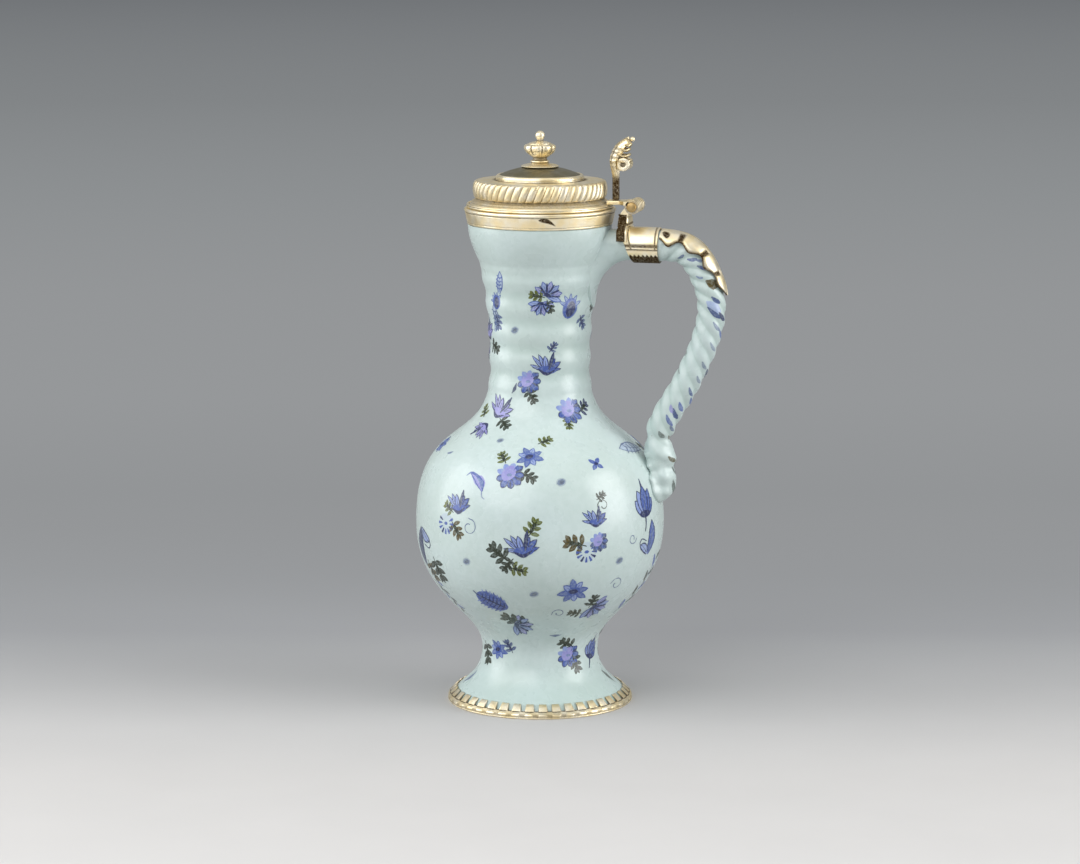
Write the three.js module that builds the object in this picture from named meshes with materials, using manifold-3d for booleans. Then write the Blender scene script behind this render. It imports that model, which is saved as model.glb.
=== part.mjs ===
// A tin-glazed jug with a twisted handle, silver-gilt mounts and a hinged lid, in millimetres, +Z up.
// It is built about the jug's own axis, with the handle towards +X, and the foot stands on z = 0.
import * as THREE from 'three';
import { mergeVertices } from 'three/addons/utils/BufferGeometryUtils.js';
import Module from 'manifold-3d';

const wasm = await Module();
wasm.setup();

// Fits between pieces
const seatGap = 0.3;
const hingeGap = 0.3;
const pinClearance = 0.16;
const mouthClearance = 0.6;
const shortestEdge = 0.05;

// Facets of turned pieces
const wideFacets = 38;
const middleFacets = 32;
const smallFacets = 20;
const pinFacets = 16;

// Pot: outline radii, and how high each stretch of the outline stands on the one below
const potWall = 4.5;
const footRimRadius = 44.2;
const footRimHeight = 3.6;
const footFlareHeight = 23.4;
const waistRadius = 29.4;
const lowerBellyHeight = 65;
const bellyRadius = 62.5;
const shoulderHeight = 76;
const neckRadius = 25.2;
const neckLength = 54;
const throatRadius = 30.3;
const mouthFlareHeight = 18.8;
const mouthRadius = 36;
const lipRise = 7.2;
const lipRadius = 36.2;
const lipRoot = 35;

// Pot: how far each stretch of the outline runs straight out of its ends before it turns
const footSpringLength = 14;
const footFlareRise = 5.6;
const footFlareReach = 4.6;
const bellySpringLength = 20;
const bellyLeadLength = 40;
const shoulderSpringLength = 54;
const neckSpringLength = 40;
const throatEase = 2.3;
const landLead = 2.5;

// Pot: steps of the outline in each of its stretches
const flareSteps = 5;
const bellySteps = 8;
const ringSteps = 3;
const throatSteps = 4;
const innerSteps = 4;

// Pot: throwing rings on the neck, and the hollow inside and under it
const ringCount = 5;
const ringPitch = 13.15;
const ringSetback = 6.6;
const ringRise = 0.9;
const floorRise = 4;
const recessDepth = 19;
const recessRadius = 20;
const footLandWidth = 6;
const edgeBevel = 0.8;
const floorCorner = 5;

// Foot mount
const footSheet = 0.8;
const footMountLedge = 2;
const footMountHeight = 2.6;
const footMountWidth = 10;
const dentilCount = 42;
const dentilTop = 6.6;
const dentilSheet = 0.7;
const dentilShare = 0.62;
const dentilSlopeShare = 0.06;
const dentilNeck = 1.1;
const dentilStand = 0.4;

// Mouth mount
const mouthSheet = 0.7;
const mouthMountFlare = 0.4;
const mouthInnerDepth = 3.5;
const leafAzimuth = -70.6;
const leafLength = 8.5;
const leafWidth = 4.2;
const leafDepth = 0.35;

// Handle: centreline, thickness and twist
const handleDrop = 17.5;
const handleReach = 86.8;
const handleSink = 4;
const handleBendLead = 1;
const handleLandRise = 34;
const handleLandStand = 8;
const handleHeelDrop = 10;
const handleHeelStand = 3.6;
const handleFootDrop = 12;
const handleFootSink = 3.4;
const gripRadius = 6.75;
const lobeCount = 4;
const lobeShare = 0.08;
const twistPitchTop = 27;
const twistPitchFoot = 40;
const handleSegmentLength = 1.9;

// Handle: where its centreline turns, as shares of its reach and of its fall to where it lands
const handleTurns = [[0.865, 0.032], [0.972, 0.166], [1, 0.294], [0.962, 0.445], [0.853, 0.635]];

// Handle: how it tucks in under the hand, as a stand in grip radii and a share of its fall
const handleTuck = [[0.06, 0.824], [-0.24, 0.905]];

// Handle: the folds of its pressed end, as distance from the end and spread in grip radii, and swell
const handleFolds = [[1.63, 0.59, 0.04], [2.59, 0.27, -0.1], [3.56, 0.67, 0.13], [4.89, 0.385, -0.16]];

// Handle: the root that it grows from, and how soon the plain root turns to rope
const rootReach = 18.4;
const rootDrop = 24;
const rootSetback = 4.4;
const rootHalfHeight = 7.6;
const rootHalfWidth = 7;
const rootFlareShare = 0.5;
const ropeLeadLength = 7;

// Sleeve of the mount round the handle
const sleeveSheet = 1.1;
const sleeveStand = 4;
const sleeveLength = 19.4;
const sleeveSlant = 6.4;
const sleeveSplit = 1.2;
const tailSheet = 0.8;
const tailHalfAngle = 48;
const tailLength = 39;
const tailScallops = 4;
const tailScallopShare = 0.16;
const tailHole = 1.5;
const tailHoleSetback = 4;

// Hinge
const hingeRise = 1.5;
const barrelRadius = 3.6;
const barrelCount = 5;
const hingeWidth = 15;
const pinRadius = 1.1;
const pinHeadRadius = 2.5;
const pinHeadHeight = 1.2;
const postStand = 3.2;
const postThickness = 5;
const postWidth = 10;
const postInset = 2.2;
const postHeadroom = 0.4;
const postApron = 6.2;
const postShoulder = 3;
const postFlare = 1.2;
const postNeck = 2.4;
const postSlope = 3.2;
const armThickness = 1.9;
const armWidth = 9;
const armFlare = 3;

// Thumbpiece
const thumbStemWidth = 4.4;
const thumbStemThickness = 3;
const thumbShellWidth = 17;
const thumbShellThickness = 2.2;
const thumbHeight = 29;
const thumbLean = 7;
const thumbSetback = 9.5;
const thumbRibs = 5;
const thumbRibDepth = 0.5;
const thumbCurl = 1.6;
const scrollRadius = 3.3;
const scrollWidth = 9;
const scrollStand = 0.8;
const beadRadius = 1.2;

// Lid
const lidSheet = 1.3;
const lidWallRadius = 34.8;
const rimHeight = 1.9;
const rimWidth = 1.4;
const coveHeight = 2.6;
const gadroonCount = 52;
const gadroonRise = 0.55;
const gadroonLean = 6;
const gadroonRadius = 32.9;
const gadroonHeight = 8.6;
const gadroonBulge = 1.5;
const gadroonSweep = 80;
const coveDepth = 2.4;
const lidTopRadius = 29.5;
const lidTopRise = 0.3;
const plateauRadius = 25.7;
const bezelDepth = 3;
const bezelSheet = 0.9;
const ringRadius = 21.9;
const ringWidth = 2;
const ringHeight = 2.6;
const discRise = 4.2;
const discSheet = 1;

// Finial
const studRadius = 1.2;
const finialBaseRadius = 9.5;
const finialBaseHeight = 3.8;
const knopRadius = 4.7;
const knopNeck = 3.4;
const cupFoot = 3.7;
const cupRadius = 7.6;
const cupHeight = 6.7;
const cupLobes = 8;
const cupLobeRise = 0.45;
const tipRadius = 5.6;
const ballRadius = 2.4;
const ballSweep = [-45, 60];
const tipHeight = 6.5;
const washerRadius = 5;
const washerThickness = 0.7;
const nutRadius = 3.4;
const nutHeight = 2.4;
const studTail = 1.4;

// Colours and finishes
const glaze = new THREE.MeshStandardMaterial({ color: 0xc9d6d4, roughness: 0.18, metalness: 0 });
const gilt = new THREE.MeshStandardMaterial({ color: 0xd9c48c, roughness: 0.28, metalness: 1 });
const darkGilt = new THREE.MeshStandardMaterial({ color: 0x9c8a5c, roughness: 0.35, metalness: 1 });

// Values that follow from the sizes above
const waistHeight = footRimHeight + footFlareHeight;
const bellyHeight = waistHeight + lowerBellyHeight;
const neckHeight = bellyHeight + shoulderHeight;
const throatHeight = neckHeight + neckLength;
const mouthHeight = throatHeight + mouthFlareHeight;
const lipHeight = mouthHeight + lipRise;
const floorHeight = waistHeight + floorRise;
const firstRing = neckHeight - ringSetback;
const handleLandHeight = bellyHeight + handleLandRise;
const handleHeelHeight = handleLandHeight - handleHeelDrop;
const handleFootHeight = handleHeelHeight - handleFootDrop;
const mountTop = lipHeight + seatGap + mouthSheet;
const lidSeat = mountTop + seatGap;
const hingeHeight = lidSeat + hingeRise;
const mountRadius = lipRadius + seatGap + mouthSheet + mouthMountFlare;
const postFront = mountRadius + postStand;
const postBack = postFront + postThickness;
const hingeReach = postBack + postInset;
const sleeveStart = mountRadius + sleeveStand;
const sleeveEnd = sleeveStart + sleeveLength;
const rootStart = sleeveStart + rootSetback;
const handleStraight = sleeveEnd - handleBendLead;
const handleTop = mountTop - handleDrop;
const handleStart = neckRadius - handleSink;
const boreRadius = pinRadius + pinClearance;
const studBore = studRadius + seatGap;
const footSeat = footSheet + seatGap;
const footMountRadius = footRimRadius + seatGap + footMountLedge;
const ringTop = firstRing + ringPitch * (ringCount - 1);
const ringsFrom = firstRing - ringPitch / 2;
const ringsTo = ringTop + ringPitch / 2;

// Geometry helpers

const spread = (from, to, count) => Array.from(
  { length: count },
  (_, i) => THREE.MathUtils.lerp(from, to, i / count),
);
const arc = (cx, cz, rx, rz, from, to, count) => Array.from({ length: count + 1 }, (_, i) => {
  const angle = THREE.MathUtils.degToRad(from + ((to - from) * i) / count);
  return [cx + rx * Math.cos(angle), cz + rz * Math.sin(angle)];
});
const smooth = (value, low, high) => THREE.MathUtils.smoothstep(value, low, high);

// Keeps only the places of a geometry, with shared corners merged and empty triangles left out.
function welded(geometry) {
  const plain = new THREE.BufferGeometry();
  plain.setAttribute('position', geometry.getAttribute('position'));
  plain.setIndex(geometry.getIndex());
  const merged = mergeVertices(plain, 1e-5);
  const source = merged.getIndex().array;
  const kept = [];
  for (let i = 0; i < source.length; i += 3) {
    const [a, b, c] = [source[i], source[i + 1], source[i + 2]];
    if (a !== b && b !== c && c !== a) kept.push(a, b, c);
  }
  merged.setIndex(kept);
  return merged;
}

function toManifold(geometry) {
  const solid = welded(geometry);
  const vertProperties = Float32Array.from(solid.getAttribute('position').array);
  const triVerts = Uint32Array.from(solid.getIndex().array);
  return new wasm.Manifold(new wasm.Mesh({ numProp: 3, vertProperties, triVerts }));
}

// Cuts leave edges shorter than a tool mark: their two corners become one, and the flattened faces go.
function fromManifold(solid) {
  const mesh = solid.getMesh();
  const corners = Array.from({ length: mesh.numVert }, (_, i) => (
    new THREE.Vector3().fromArray(mesh.vertProperties, i * 3)
  ));
  const faces = Array.from({ length: mesh.numTri }, (_, i) => [...mesh.triVerts.slice(i * 3, i * 3 + 3)]);
  const moved = corners.map((_, i) => i);
  const home = (i) => (moved[i] === i ? i : home(moved[i]));
  for (const face of faces) {
    for (let k = 0; k < 3; k += 1) {
      const [a, b] = [home(face[k]), home(face[(k + 1) % 3])];
      if (a !== b && corners[a].distanceTo(corners[b]) < shortestEdge) moved[b] = a;
    }
  }
  const kept = faces.map((face) => face.map(home)).filter(([a, b, c]) => a !== b && b !== c && c !== a);
  const geometry = new THREE.BufferGeometry().setFromPoints(corners);
  geometry.setIndex(kept.flat());
  return welded(geometry);
}

// Turns an outline of [radius, height] pairs about the jug's axis.
function turned(outline, facets) {
  const points = outline.map(([r, z]) => new THREE.Vector2(r, z));
  return welded(new THREE.LatheGeometry(points, facets).rotateX(Math.PI / 2));
}

// Turns a closed outline, such as that of a ring.
function turnedRing(outline, facets) {
  return turned([...outline, outline[0]], facets);
}

// Joins closed sections into one skin. All have the same even number of points, and the second half lies
// across from the first, so that an end closes like a ladder. A loop closes on its first section instead.
function loft(sections, isLoop) {
  const width = sections[0].length;
  const positions = sections.flatMap((section) => section.flatMap((p) => [p.x, p.y, p.z]));
  const faces = [];
  const last = isLoop ? sections.length : sections.length - 1;
  for (let i = 0; i < last; i += 1) {
    const here = i * width;
    const next = ((i + 1) % sections.length) * width;
    for (let k = 0; k < width; k += 1) {
      const l = (k + 1) % width;
      faces.push(here + k, next + k, next + l, here + k, next + l, here + l);
    }
  }
  if (!isLoop) {
    const end = (sections.length - 1) * width;
    for (let k = 0; k < width / 2 - 1; k += 1) {
      const [a, b, c, d] = [k, k + 1, width - 2 - k, width - 1 - k];
      faces.push(a, b, c, a, c, d);
      faces.push(end + a, end + c, end + b, end + a, end + d, end + c);
    }
  }
  const geometry = new THREE.BufferGeometry();
  geometry.setAttribute('position', new THREE.Float32BufferAttribute(positions, 3));
  geometry.setIndex(faces);
  return geometry;
}

// A ring of sections round the jug's axis. At an angle, sectionAt gives [radius, height, turn in degrees].
function ringLoft(stations, sectionAt) {
  return loft(stations.map((degrees) => sectionAt(degrees).map(([r, z, turn = 0]) => {
    const angle = THREE.MathUtils.degToRad(degrees + turn);
    return new THREE.Vector3(r * Math.cos(angle), r * Math.sin(angle), z);
  })), true);
}

// A box between two corners.
function boxBetween(low, high) {
  const size = high.map((value, i) => value - low[i]);
  const centre = high.map((value, i) => (value + low[i]) / 2);
  return new THREE.BoxGeometry(...size).translate(...centre);
}

// A cylinder along Y between two places, about a line through x and z.
function barAlongY(radius, y0, y1, x, z, facets) {
  return welded(new THREE.CylinderGeometry(radius, radius, y1 - y0, facets).translate(x, (y0 + y1) / 2, z));
}

// A flat outline of [across, up] pairs in the YZ plane, as thick as from x0 to x1.
function plateAcross(outline, x0, x1) {
  const shape = new THREE.Shape(outline.map(([y, z]) => new THREE.Vector2(y, z)));
  const plate = new THREE.ExtrudeGeometry(shape, { depth: x1 - x0, bevelEnabled: false });
  return plate.rotateX(Math.PI / 2).rotateZ(Math.PI / 2).translate(x0, 0, 0);
}

const group = new THREE.Group();
const lid = new THREE.Group();

function addMesh(parent, name, geometry, material) {
  const mesh = new THREE.Mesh(geometry, material);
  mesh.name = name;
  parent.add(mesh);
}

// Pot outline

// The outline without its rings, as [radius, height] pairs close together.
function plainOutline() {
  const curve = (...points) => new THREE.CubicBezierCurve(...points.map(([r, z]) => new THREE.Vector2(r, z)))
    .getPoints(48).map((p) => [p.x, p.y]);
  const flare = curve(
    [footRimRadius, footRimHeight],
    [footRimRadius - footFlareReach, footRimHeight + footFlareRise],
    [waistRadius, waistHeight - footSpringLength],
    [waistRadius, waistHeight],
  );
  const lower = curve(
    [waistRadius, waistHeight],
    [waistRadius, waistHeight + bellySpringLength],
    [bellyRadius, bellyHeight - bellyLeadLength],
    [bellyRadius, bellyHeight],
  );
  const upper = curve(
    [bellyRadius, bellyHeight],
    [bellyRadius, bellyHeight + shoulderSpringLength],
    [neckRadius, neckHeight - neckSpringLength],
    [neckRadius, neckHeight],
  );
  const neck = spread(neckHeight, throatHeight, 24).map((z) => {
    const share = (z - neckHeight) / (throatHeight - neckHeight);
    return [THREE.MathUtils.lerp(neckRadius, throatRadius, share ** throatEase), z];
  });
  const mouth = [...spread(throatHeight, mouthHeight, 16), mouthHeight].map((z) => {
    const share = (z - throatHeight) / (mouthHeight - throatHeight);
    return [THREE.MathUtils.lerp(throatRadius, mouthRadius, Math.sin((share * Math.PI) / 2)), z];
  });
  return [...flare, ...lower.slice(1), ...upper.slice(1), ...neck.slice(1), ...mouth];
}

const potLine = plainOutline();

// The pot's radius at a height, without its rings.
function plainRadius(z) {
  const upper = potLine.findIndex(([, height]) => height >= z);
  if (upper < 0) return mouthRadius;
  if (upper === 0) return potLine[0][0];
  const [r0, z0] = potLine[upper - 1];
  const [r1, z1] = potLine[upper];
  return r0 + ((r1 - r0) * (z - z0)) / Math.max(z1 - z0, 1e-6);
}

// The rings fade out over half a pitch below the first and above the last.
function ringHeightAt(z) {
  const fadeIn = smooth(z, ringsFrom, firstRing);
  const fadeOut = 1 - smooth(z, ringTop, ringsTo);
  return ringRise * fadeIn * fadeOut * Math.cos((2 * Math.PI * (z - firstRing)) / ringPitch);
}

const potRadius = (z) => plainRadius(z) + ringHeightAt(z);

// The outer surface from the foot to the mouth, moved outwards by a clearance.
function potOutside(clearance) {
  const heights = [
    ...spread(footRimHeight, waistHeight, flareSteps),
    ...spread(waistHeight, bellyHeight, bellySteps),
    ...spread(bellyHeight, ringsFrom, bellySteps),
    ...spread(ringsFrom, ringsTo, ringCount * ringSteps),
    ...spread(ringsTo, mouthHeight, throatSteps),
    mouthHeight,
  ];
  return heights.map((z) => [potRadius(z) + clearance, z]);
}

// The inner surface from the lip down to the floor, one wall inside the outline.
function potInside() {
  const offset = potLine.map(([r, z], i) => {
    const [r0, z0] = potLine[Math.max(i - 1, 0)];
    const [r1, z1] = potLine[Math.min(i + 1, potLine.length - 1)];
    const length = Math.hypot(r1 - r0, z1 - z0) || 1;
    return [r - (potWall * (z1 - z0)) / length, z + (potWall * (r1 - r0)) / length];
  });
  const heights = [
    (throatHeight + mouthHeight) / 2,
    throatHeight,
    ...spread(neckHeight, bellyHeight, innerSteps),
    ...spread(bellyHeight, cornerHeight, innerSteps),
    cornerHeight,
  ];
  const nearest = (height) => offset.reduce((best, point) => (
    Math.abs(point[1] - height) < Math.abs(best[1] - height) ? point : best
  ));
  return heights.map((height) => [nearest(height)[0], height]);
}

const cornerHeight = floorHeight + floorCorner / 2;
const mouthBore = lipRadius - potWall;

// Pot

function faienceBody() {
  const inside = potInside();
  const floorRadius = inside[inside.length - 1][0];
  const landRadius = footRimRadius - footLandWidth;
  return turned([
    [0, recessDepth],
    [recessRadius * 0.8, recessDepth - edgeBevel],
    [recessRadius * 1.2, recessDepth * 0.75],
    [landRadius - landLead, recessDepth * 0.27],
    [landRadius, footSeat],
    [footRimRadius - edgeBevel, footSeat],
    [footRimRadius, footSeat + edgeBevel],
    ...potOutside(0),
    [lipRoot, mouthHeight],
    [lipRadius, lipHeight - edgeBevel],
    [lipRadius - edgeBevel, lipHeight],
    [mouthBore + edgeBevel, lipHeight],
    [mouthBore, lipHeight - edgeBevel],
    [mouthBore, lipHeight - mouthInnerDepth - edgeBevel],
    ...inside,
    [floorRadius - floorCorner, floorHeight],
    [0, floorHeight],
  ], wideFacets);
}

// Everything that the pot's outside fills, grown by the gap that the handle keeps to it.
function potBlank() {
  return toManifold(turned([
    [0, 0],
    [footRimRadius + seatGap, 0],
    ...potOutside(seatGap),
    [0, mouthHeight],
  ], wideFacets));
}

// Handle

// The centreline lies in the plane y = 0: out of the neck, over and down to the belly.
function handlePoints() {
  const beside = (height, stand) => [plainRadius(height) + stand, height];
  const land = beside(handleLandHeight, handleLandStand);
  const fall = handleTop - handleLandHeight;
  return [
    [handleStart, handleTop],
    [(neckRadius + handleStraight) / 2, handleTop],
    [handleStraight, handleTop],
    ...handleTurns.map(([reach, drop]) => [handleReach * reach, handleTop - fall * drop]),
    ...handleTuck.map(([stand, drop]) => [land[0] + gripRadius * stand, handleTop - fall * drop]),
    land,
    beside(handleHeelHeight, handleHeelStand),
    beside(handleFootHeight, -handleFootSink),
  ];
}

const handlePath = new THREE.CatmullRomCurve3(
  handlePoints().map(([x, z]) => new THREE.Vector3(x, 0, z)),
  false,
  'centripetal',
);
const handleLength = handlePath.getLength();
const handleSteps = Math.round(handleLength / handleSegmentLength);
const straightShare = (handleStraight - handleStart) / handleLength;

// The handle's frame at a share of its length: its place, which way is outwards, and the turn of its lobes.
function handleFrame(share) {
  const place = handlePath.getPointAt(share);
  const along = handlePath.getTangentAt(share);
  const out = new THREE.Vector3(-along.z, 0, along.x);
  const travelled = Math.max(share - straightShare, 0) * handleLength;
  const whole = (1 - straightShare) * handleLength;
  const pitch = THREE.MathUtils.lerp(twistPitchTop, twistPitchFoot, travelled / whole / 2);
  return { place, out, twist: (2 * Math.PI * travelled) / pitch };
}

// The handle thickens into its root, and swells and narrows in folds where it is pressed onto the belly.
function handleRadii(share, place) {
  const left = (1 - share) * handleLength;
  const folds = handleFolds.reduce((sum, [at, width, swell]) => (
    sum + swell * Math.exp(-(((left / gripRadius - at) / width) ** 2))
  ), 1);
  const taper = smooth(left, -handleFootSink * 2, gripRadius);
  const radius = gripRadius * folds * taper;
  const plain = 1 - smooth(place.x, sleeveEnd - 1, sleeveEnd + ropeLeadLength);
  const isRoot = share < straightShare + ropeLeadLength * 2 / handleLength;
  const rise = isRoot ? THREE.MathUtils.lerp(radius, rootHalfHeight, plain) : radius;
  const side = isRoot ? THREE.MathUtils.lerp(radius, rootHalfWidth, plain) : radius;
  const inward = Math.min(Math.max(rootStart - place.x, 0) / rootReach, 1);
  const web = isRoot ? rootDrop * (1 - Math.sqrt(1 - inward ** 2)) : 0;
  const spreadOut = 1 + rootFlareShare * inward ** 3;
  const rope = smooth(left, gripRadius * handleFolds[1][0], gripRadius * handleFolds[3][0] + ropeLeadLength);
  const lobes = (isRoot ? 1 - plain : 1) * rope;
  return { rise, side: side * spreadOut, fall: rise + web, lobes };
}

function handleSection(share) {
  const { place, out, twist } = handleFrame(share);
  const { rise, side, fall, lobes } = handleRadii(share, place);
  return Array.from({ length: lobeCount * 2 }, (_, k) => {
    const phase = (Math.PI * k) / lobeCount;
    const swell = 1 + lobes * lobeShare * Math.cos(lobeCount * phase);
    const up = Math.cos(phase + twist);
    const across = Math.sin(phase + twist);
    return place.clone()
      .addScaledVector(out, swell * up * (up > 0 ? rise : fall))
      .add(new THREE.Vector3(0, swell * across * side, 0));
  });
}

function faienceHandle() {
  const shares = Array.from({ length: handleSteps + 1 }, (_, i) => i / handleSteps);
  const rope = toManifold(loft(shares.map(handleSection), false));
  return fromManifold(rope.subtract(potBlank()));
}

// Foot mount

function footBaseMoulding() {
  const inner = footMountRadius - footMountWidth;
  const shelf = footRimRadius + seatGap;
  return turnedRing([
    [inner, 0],
    [footMountRadius - edgeBevel, 0],
    [footMountRadius, edgeBevel],
    [footMountRadius, footMountHeight * 0.6],
    [footMountRadius - edgeBevel / 2, footMountHeight],
    [shelf, footMountHeight],
    [shelf, footSheet],
    [inner, footSheet],
  ], wideFacets + 8);
}

// A band of tabs that stands on the moulding and holds the rim of the foot.
function footDentilCollar() {
  const pitch = 360 / dentilCount;
  const topRadius = plainRadius(dentilTop);
  const along = (z) => THREE.MathUtils.mapLinear(z, footRimHeight, dentilTop, footRimRadius, topRadius);
  const lean = (z) => along(z) + dentilStand;
  const slope = pitch * dentilSlopeShare;
  const stations = [];
  for (let i = 0; i < dentilCount; i += 1) {
    const start = i * pitch;
    const tab = pitch * dentilShare;
    stations.push([start, 0], [start + slope, 1], [start + tab - slope, 1], [start + tab, 0]);
  }
  const rise = new Map(stations);
  return ringLoft(stations.map(([degrees]) => degrees), (degrees) => {
    const top = THREE.MathUtils.lerp(footMountHeight + dentilNeck, dentilTop, rise.get(degrees));
    return [
      [lean(footMountHeight), footMountHeight],
      [lean(footMountHeight) + dentilSheet, footMountHeight],
      [lean(top) + dentilSheet, top],
      [lean(top), top],
    ];
  });
}

// Mouth mount

function mouthCollar() {
  const skirt = mouthHeight + seatGap;
  const inner = lipRoot + seatGap;
  const top = mountRadius - mouthMountFlare - mouthSheet;
  const bore = mouthBore - seatGap - mouthSheet;
  const channel = turnedRing([
    [inner, skirt],
    [inner + mouthSheet, skirt],
    [top + mouthSheet, lipHeight - edgeBevel],
    [mountRadius, lipHeight],
    [top + mouthSheet, mountTop],
    [bore + mouthSheet / 2, mountTop],
    [bore, mountTop - mouthSheet / 2],
    [bore, lipHeight - mouthInnerDepth],
    [mouthBore - seatGap, lipHeight - mouthInnerDepth],
    [mouthBore - seatGap, lipHeight + seatGap],
    [top, lipHeight + seatGap],
  ], wideFacets);
  return fromManifold(toManifold(channel).subtract(leafCutter(skirt)));
}

// A pointed leaf sunk into the front of the mouth mount.
function leafCutter(skirt) {
  const shape = new THREE.Shape();
  shape.moveTo(-leafLength / 2, leafWidth * 0.2);
  shape.quadraticCurveTo(-leafLength * 0.1, leafWidth * 0.75, leafLength / 2, -leafWidth / 2);
  shape.quadraticCurveTo(0, -leafWidth * 0.45, -leafLength / 2, leafWidth * 0.2);
  const depth = leafDepth + mouthSheet * 2;
  const leaf = new THREE.ExtrudeGeometry(shape, { depth, bevelEnabled: false, curveSegments: 5 });
  const azimuth = THREE.MathUtils.degToRad(leafAzimuth);
  const middle = (skirt + mountTop) / 2;
  const face = (lipRoot + lipRadius) / 2 + seatGap + mouthSheet - leafDepth;
  leaf.rotateX(Math.PI / 2).rotateZ(Math.PI / 2 + azimuth)
    .translate(Math.cos(azimuth) * face, Math.sin(azimuth) * face, middle);
  return toManifold(leaf);
}

// Sleeve round the handle

// The sleeve's outline in the YZ plane, a clearance outside the handle's plain root.
function sleeveOutline(clearance, facets = 28) {
  return Array.from({ length: facets }, (_, k) => {
    const angle = (2 * Math.PI * k) / facets;
    const across = (rootHalfWidth + clearance) * Math.cos(angle);
    return [across, handleTop + (rootHalfHeight + clearance) * Math.sin(angle)];
  });
}

const splitHeight = handleTop - sleeveSplit;

// The whole sleeve, its inner end cut on a slant that follows the root.
function sleeveTube() {
  const outer = toManifold(plateAcross(sleeveOutline(seatGap + sleeveSheet), sleeveStart - 1, sleeveEnd));
  const bore = toManifold(plateAcross(sleeveOutline(seatGap), sleeveStart - 2, sleeveEnd + 1));
  const half = rootHalfHeight + seatGap + sleeveSheet + 1;
  const wedge = new THREE.Shape([
    new THREE.Vector2(sleeveStart - half, handleTop + half),
    new THREE.Vector2(sleeveStart, handleTop + half),
    new THREE.Vector2(sleeveStart + sleeveSlant, handleTop - half),
    new THREE.Vector2(sleeveStart - half, handleTop - half),
  ]);
  const cutter = new THREE.ExtrudeGeometry(wedge, { depth: half * 2, bevelEnabled: false });
  return outer.subtract(bore).subtract(toManifold(cutter.rotateX(Math.PI / 2).translate(0, half, 0)));
}

// The sleeve's part between two heights, as wide and long as it comes.
function sleeveBetween(low, high) {
  const half = rootHalfWidth * 2;
  const slab = boxBetween([sleeveStart - half, -half, low], [sleeveEnd + half, half, high]);
  return fromManifold(sleeveTube().intersect(toManifold(slab)));
}

const strapSaddle = () => sleeveBetween(splitHeight, handleTop + rootHalfHeight * 2);
const strapUnderband = () => sleeveBetween(handleTop - rootHalfHeight * 2, splitHeight - seatGap);

// A leaf of sheet that runs from the sleeve along the handle's back, with scalloped edges.
function strapTail() {
  const start = (sleeveEnd + seatGap - handleStart) / handleLength;
  const steps = tailScallops * 5;
  const inner = Math.max(rootHalfHeight, gripRadius * (1 + lobeShare)) + seatGap;
  const sections = Array.from({ length: steps + 1 }, (_, i) => {
    const travelled = i / steps;
    const { place, out } = handleFrame(start + (travelled * tailLength) / handleLength);
    const narrowing = Math.sqrt(Math.max(1 - travelled ** 2.2, 0.02));
    const scallop = 1 + tailScallopShare * Math.cos(2 * Math.PI * tailScallops * travelled);
    const half = THREE.MathUtils.degToRad(tailHalfAngle) * narrowing * scallop;
    const point = (radius, angle) => place.clone()
      .addScaledVector(out, radius * Math.cos(angle))
      .add(new THREE.Vector3(0, radius * Math.sin(angle), 0));
    const sweep = [-1, -0.5, 0, 0.5, 1];
    return [
      ...sweep.map((k) => point(inner + tailSheet, k * half)),
      ...sweep.toReversed().map((k) => point(inner, k * half)),
    ];
  });
  const hole = new THREE.CylinderGeometry(tailHole, tailHole, gripRadius, pinFacets).rotateX(Math.PI / 2)
    .translate(sleeveEnd + tailHoleSetback, 0, handleTop + inner);
  return fromManifold(toManifold(loft(sections, false)).subtract(toManifold(hole)));
}

// Hinge

const barrelPitch = (hingeWidth + hingeGap) / barrelCount;
const barrelStart = (index) => -hingeWidth / 2 + index * barrelPitch;
const isFixedBarrel = (index) => index % 2 === 1;
const barrelIndexes = Array.from({ length: barrelCount }, (_, i) => i);

// One barrel, or the space that it turns in.
function barrel(index, radius, margin) {
  const from = barrelStart(index) - margin;
  const to = barrelStart(index) + barrelPitch - hingeGap + margin;
  return toManifold(barAlongY(radius, from, to, hingeReach, hingeHeight, smallFacets));
}

const pinHole = () => toManifold(
  barAlongY(boreRadius, -hingeWidth, hingeWidth, hingeReach, hingeHeight, pinFacets),
);

// A post that stands astride the sleeve and carries the fixed barrels.
function hingeStandard() {
  const top = hingeHeight - barrelRadius - postHeadroom;
  const shoulder = handleTop + rootHalfHeight + postShoulder;
  const outerHalf = rootHalfWidth + seatGap * 2 + sleeveSheet * 2;
  const foot = handleTop + rootHalfHeight + sleeveSheet - postApron;
  const right = [
    [outerHalf, foot],
    [outerHalf, shoulder - postSlope],
    [postWidth / 2 + postFlare, shoulder],
    [postWidth / 2, shoulder + postNeck],
    [postWidth / 2, top],
  ];
  const outline = [...right, ...right.toReversed().map(([y, z]) => [-y, z])];
  const astride = plateAcross(sleeveOutline(seatGap * 2 + sleeveSheet), postFront - 1, postBack + 1);
  let solid = toManifold(plateAcross(outline, postFront, postBack)).subtract(toManifold(astride));
  for (const index of barrelIndexes.filter(isFixedBarrel)) {
    const from = barrelStart(index);
    const to = from + barrelPitch - hingeGap;
    const web = boxBetween([postFront + 1, from, top - 1], [hingeReach, to, hingeHeight - pinRadius]);
    solid = solid.add(toManifold(web)).add(barrel(index, barrelRadius, 0));
  }
  return fromManifold(solid.subtract(pinHole()));
}

// The lid's arm lies on the rim of the lid and carries the turning barrels.
const armBottom = lidSeat + rimHeight + seatGap;
const armTop = armBottom + armThickness;

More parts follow.
